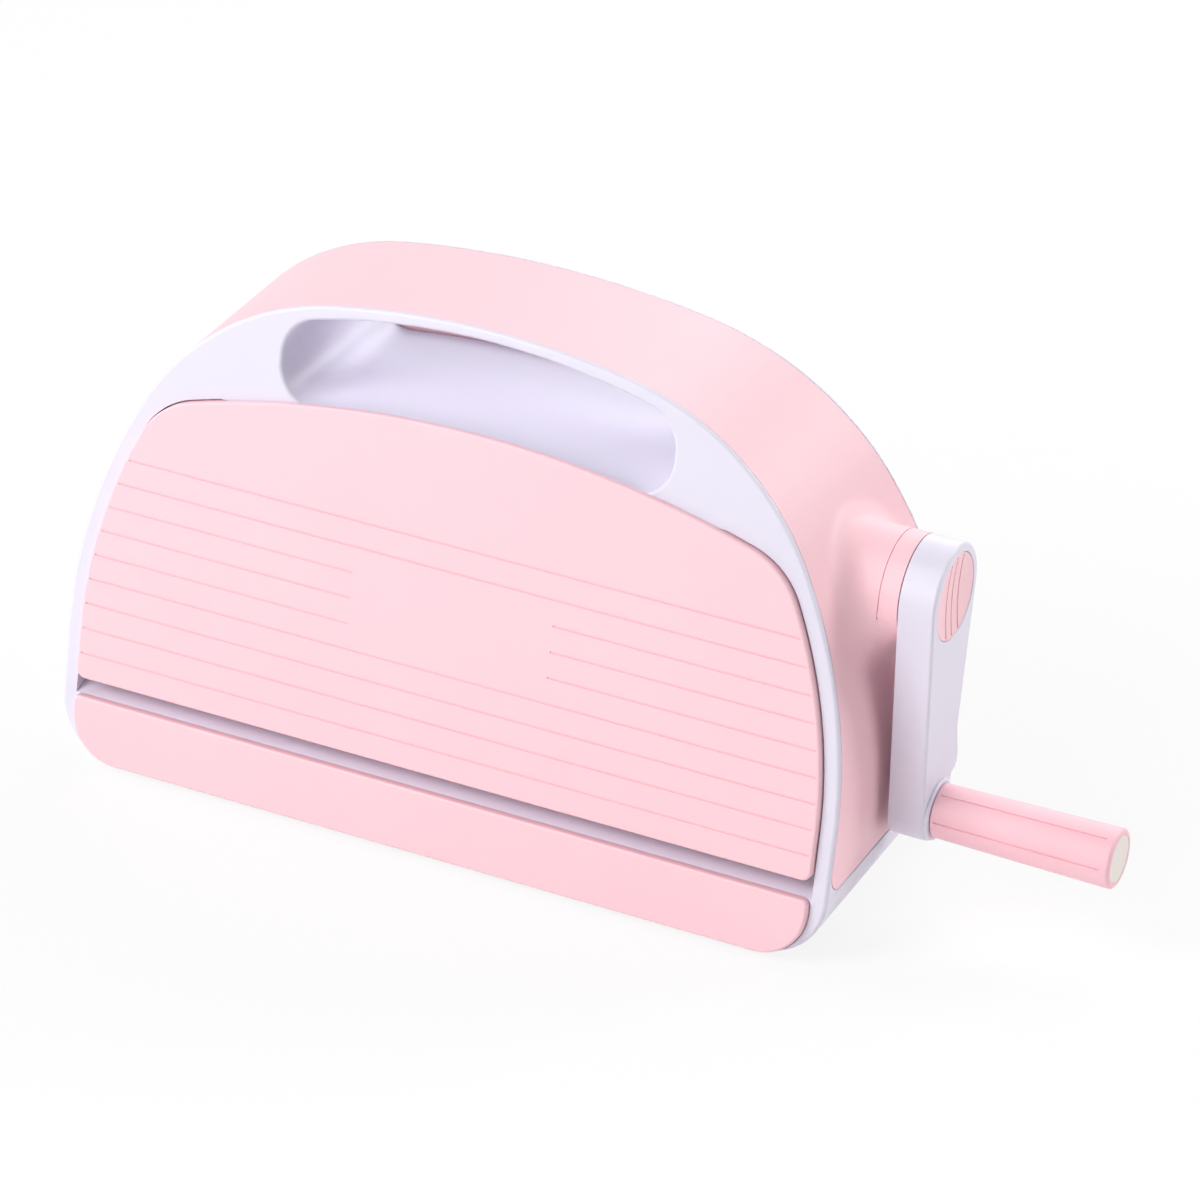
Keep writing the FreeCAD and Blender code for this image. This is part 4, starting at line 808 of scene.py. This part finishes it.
def crank_cap():
    """The dished cap with three grooves along the arm."""
    bm = bmesh.new()
    face = ARM_X + ARM_THICKNESS - CAP_SUNK
    back = ARM_X + ARM_THICKNESS - CAP_THICKNESS
    dish = (CAP_RADIUS ** 2 + CAP_DISH ** 2) / (2 * CAP_DISH)
    outline = Outline(bm, back, 0).line(back, CAP_RADIUS).line(face - CAP_EDGE, CAP_RADIUS)
    outline.line(face, CAP_RADIUS - CAP_EDGE)
    outline.arc((face - CAP_DISH + dish, 0), face - CAP_DISH, 0)
    lathe(bm)

    def dished():
        bm.normal_update()
        outward = [item for item in bm.faces if item.normal.x > CAP_DISH_SLOPE]
        return [item for item in outward if item.calc_center_median().x > back + CAP_BACK_MARGIN]

    for index in CAP_GROOVES:
        middle = index * CAP_GROOVE_PITCH
        reach = math.sqrt((CAP_RADIUS - CAP_GROOVE_MARGIN) ** 2 - middle ** 2)
        for offset in (-CAP_GROOVE_WIDTH / 2, CAP_GROOVE_WIDTH / 2):
            slice_at(bm, dished(), (0, middle + offset, 0), (0, 1, 0))
        for end in (-reach, reach):
            slice_at(bm, dished(), (0, 0, end), (0, 0, 1))

        def in_groove(item):
            place = item.calc_center_median()
            return abs(place.y - middle) < CAP_GROOVE_WIDTH / 2 and abs(place.z) < reach

        groove = [item for item in dished() if in_groove(item)]
        sink(bm, groove, (-CAP_GROOVE_DEPTH, 0, 0))
    raise_by(bm, CRANK_Z)
    turn_with_crank(bm)
    return piece(
        "ribbed_crank_cap", bm, "crank", "pink_trim", PINK, "crank_cap", sharp=MOULDED_SHARP,
    )


def turning_grip():
    """The grip: a little wider at its end, with fine grooves along it and the insert's socket."""
    bm = bmesh.new()
    end = GRIP_X + GRIP_LENGTH
    head = end - SPINDLE_HEAD_DEPTH
    socket = end - SOCKET_DEPTH
    mouth = PLUG_RADIUS + SOCKET_GAP
    shoulder = end - GRIP_END_EDGE
    start = GRIP_X + GRIP_GROOVE_START
    stop = end - GRIP_GROOVE_STOP
    slope = (GRIP_END - GRIP_ROOT) / (GRIP_LENGTH - GRIP_END_EDGE)
    outline = Outline(bm, head, SPINDLE_RADIUS)
    outline.line(head, SPINDLE_HEAD_RADIUS).line(socket, SPINDLE_HEAD_RADIUS)
    outline.line(socket, mouth).line(end - SOCKET_EDGE, mouth).line(end, mouth + SOCKET_EDGE)
    outline.line(end, GRIP_END - GRIP_END_EDGE)
    outline.arc((shoulder, GRIP_END - GRIP_END_EDGE), shoulder, GRIP_END)
    for x in (stop, start):
        outline.line(x, GRIP_ROOT + slope * (x - GRIP_X))
    outline.line(GRIP_X + GRIP_ROOT_EDGE, GRIP_ROOT).line(GRIP_X, GRIP_ROOT - GRIP_ROOT_EDGE)
    outline.line(GRIP_X, SPINDLE_RADIUS).line(head, SPINDLE_RADIUS)
    lathe(bm, GRIP_STEPS)

    for index in range(GRIP_GROOVES):
        angle = 2 * math.pi * (index + 0.5) / GRIP_GROOVES
        out = Vector((0, -math.sin(angle), math.cos(angle)))

        def in_groove(face):
            place = face.calc_center_median()
            along = start < place.x < stop and abs(face.normal.x) < GRIP_TAPER_LIMIT
            return along and place.yz.normalized().dot(out.yz) > math.cos(GRIP_GROOVE_HALF_TURN)

        bm.normal_update()
        sink(bm, [face for face in bm.faces if in_groove(face)], -GRIP_GROOVE_DEPTH * out)
    raise_by(bm, CRANK_Z - CRANK_LENGTH)
    turn_with_crank(bm)
    return piece(
        "turning_grip", bm, "grip", "grip_pink", GRIP_PINK, "grip_sleeve", sharp=MOULDED_SHARP,
    )


def grip_insert():
    """The cream disc in the grip's end, all but flush with it."""
    bm = bmesh.new()
    face = GRIP_X + GRIP_LENGTH - PLUG_SUNK
    back = face - PLUG_THICKNESS
    inner = PLUG_RADIUS - PLUG_EDGE
    outline = Outline(bm, back, 0).line(back, PLUG_RADIUS).line(face - PLUG_EDGE, PLUG_RADIUS)
    outline.arc((face - PLUG_EDGE, inner), face, inner, clockwise=True).line(face, 0)
    lathe(bm)
    raise_by(bm, CRANK_Z - CRANK_LENGTH)
    turn_with_crank(bm)
    return piece("grip_end_insert", bm, "grip", "cream_plug", CREAM, "grip_end_plug")


# Studio


def studio_floor():
    """A pale floor that keeps the object's shadow and is nearly white to the camera."""
    bm = bmesh.new()
    bmesh.ops.create_grid(bm, x_segments=1, y_segments=1, size=FLOOR_HALF_WIDTH)
    mesh = bpy.data.meshes.new("studio_floor")
    bm.to_mesh(mesh)
    bm.free()
    floor = bpy.data.objects.new("studio_floor", mesh)
    bpy.context.scene.collection.objects.link(floor)

    finish = Finish("white_floor")
    paper = finish.grain(scale=900.0, detail=2.0)
    pale = finish.blend(paper, colour(247, 247, 247), colour(244, 244, 244))
    matt = finish.node("ShaderNodeBsdfDiffuse", {}, {"Color": pale})
    glow = finish.node("ShaderNodeEmission", {}, {"Color": WHITE, "Strength": 1.0})
    shown = finish.mix(FLOOR_WHITENESS, matt, glow)
    mesh.materials.append(finish.close(finish.mix(finish.in_view(), matt, shown)))


def studio_world():
    """Faint light from all round, from a room that the camera, gloss and glass see as white."""
    world = bpy.data.worlds.new("studio_world")
    bpy.context.scene.world = world
    room = Nodes(world)
    soft = room.node("ShaderNodeBackground", {}, {"Color": WHITE, "Strength": ROOM_LIGHT})
    white = room.node("ShaderNodeBackground", {}, {"Color": WHITE, "Strength": 1.0})
    mixed = room.mix(room.in_view(), soft, white)
    room.node("ShaderNodeOutputWorld", {}, {"Surface": mixed})


def soft_box(name, place, size, watts):
    """A square soft lamp that looks at the housing."""
    lamp = bpy.data.lights.new(name, "AREA")
    lamp.shape = "SQUARE"
    lamp.size = size
    lamp.energy = watts
    holder = bpy.data.objects.new(name, lamp)
    bpy.context.scene.collection.objects.link(holder)
    aim = (LAMP_AIM - Vector(place)).to_track_quat("-Z", "Y")
    holder.matrix_world = Matrix.Translation(place) @ aim.to_matrix().to_4x4()


def photo_camera():
    """The photograph's own place and lens."""
    data = bpy.data.cameras.new("photo_camera")
    data.lens = CAMERA_LENS
    data.sensor_width = SENSOR_WIDTH
    data.clip_start = NEAREST
    data.clip_end = FARTHEST
    camera = bpy.data.objects.new("photo_camera", data)
    bpy.context.scene.collection.objects.link(camera)
    back = CAMERA_RIGHT.cross(CAMERA_UP)
    turn = Matrix((CAMERA_RIGHT, CAMERA_UP, back)).transposed().to_4x4()
    camera.matrix_world = Matrix.Translation(CAMERA_PLACE) @ turn
    bpy.context.scene.camera = camera


flap_cover("grooved_front_flap", "front_flap", "front_flap_cover")
flap_cover("grooved_rear_flap", "rear_flap", "rear_flap_cover", rear=True)
lower_panel("front_sill_panel", "front_lower_panel")
lower_panel("rear_sill_panel", "rear_lower_panel", rear=True)
moulded_shell("front_shell")
moulded_shell("rear_shell")
arch_band()
crank_arm()
crank_cap()
turning_grip()
grip_insert()

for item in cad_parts.values():
    for place in item.material_slots:
        for start, finish in NODE_FINISHES.items():
            if place.material and place.material.name.startswith(start):
                place.material = finish
                break

studio_floor()
studio_world()
for name, (place, size, watts) in LAMPS.items():
    soft_box(name, place, size, watts)
photo_camera()
bpy.context.scene.view_settings.view_transform = "Standard"
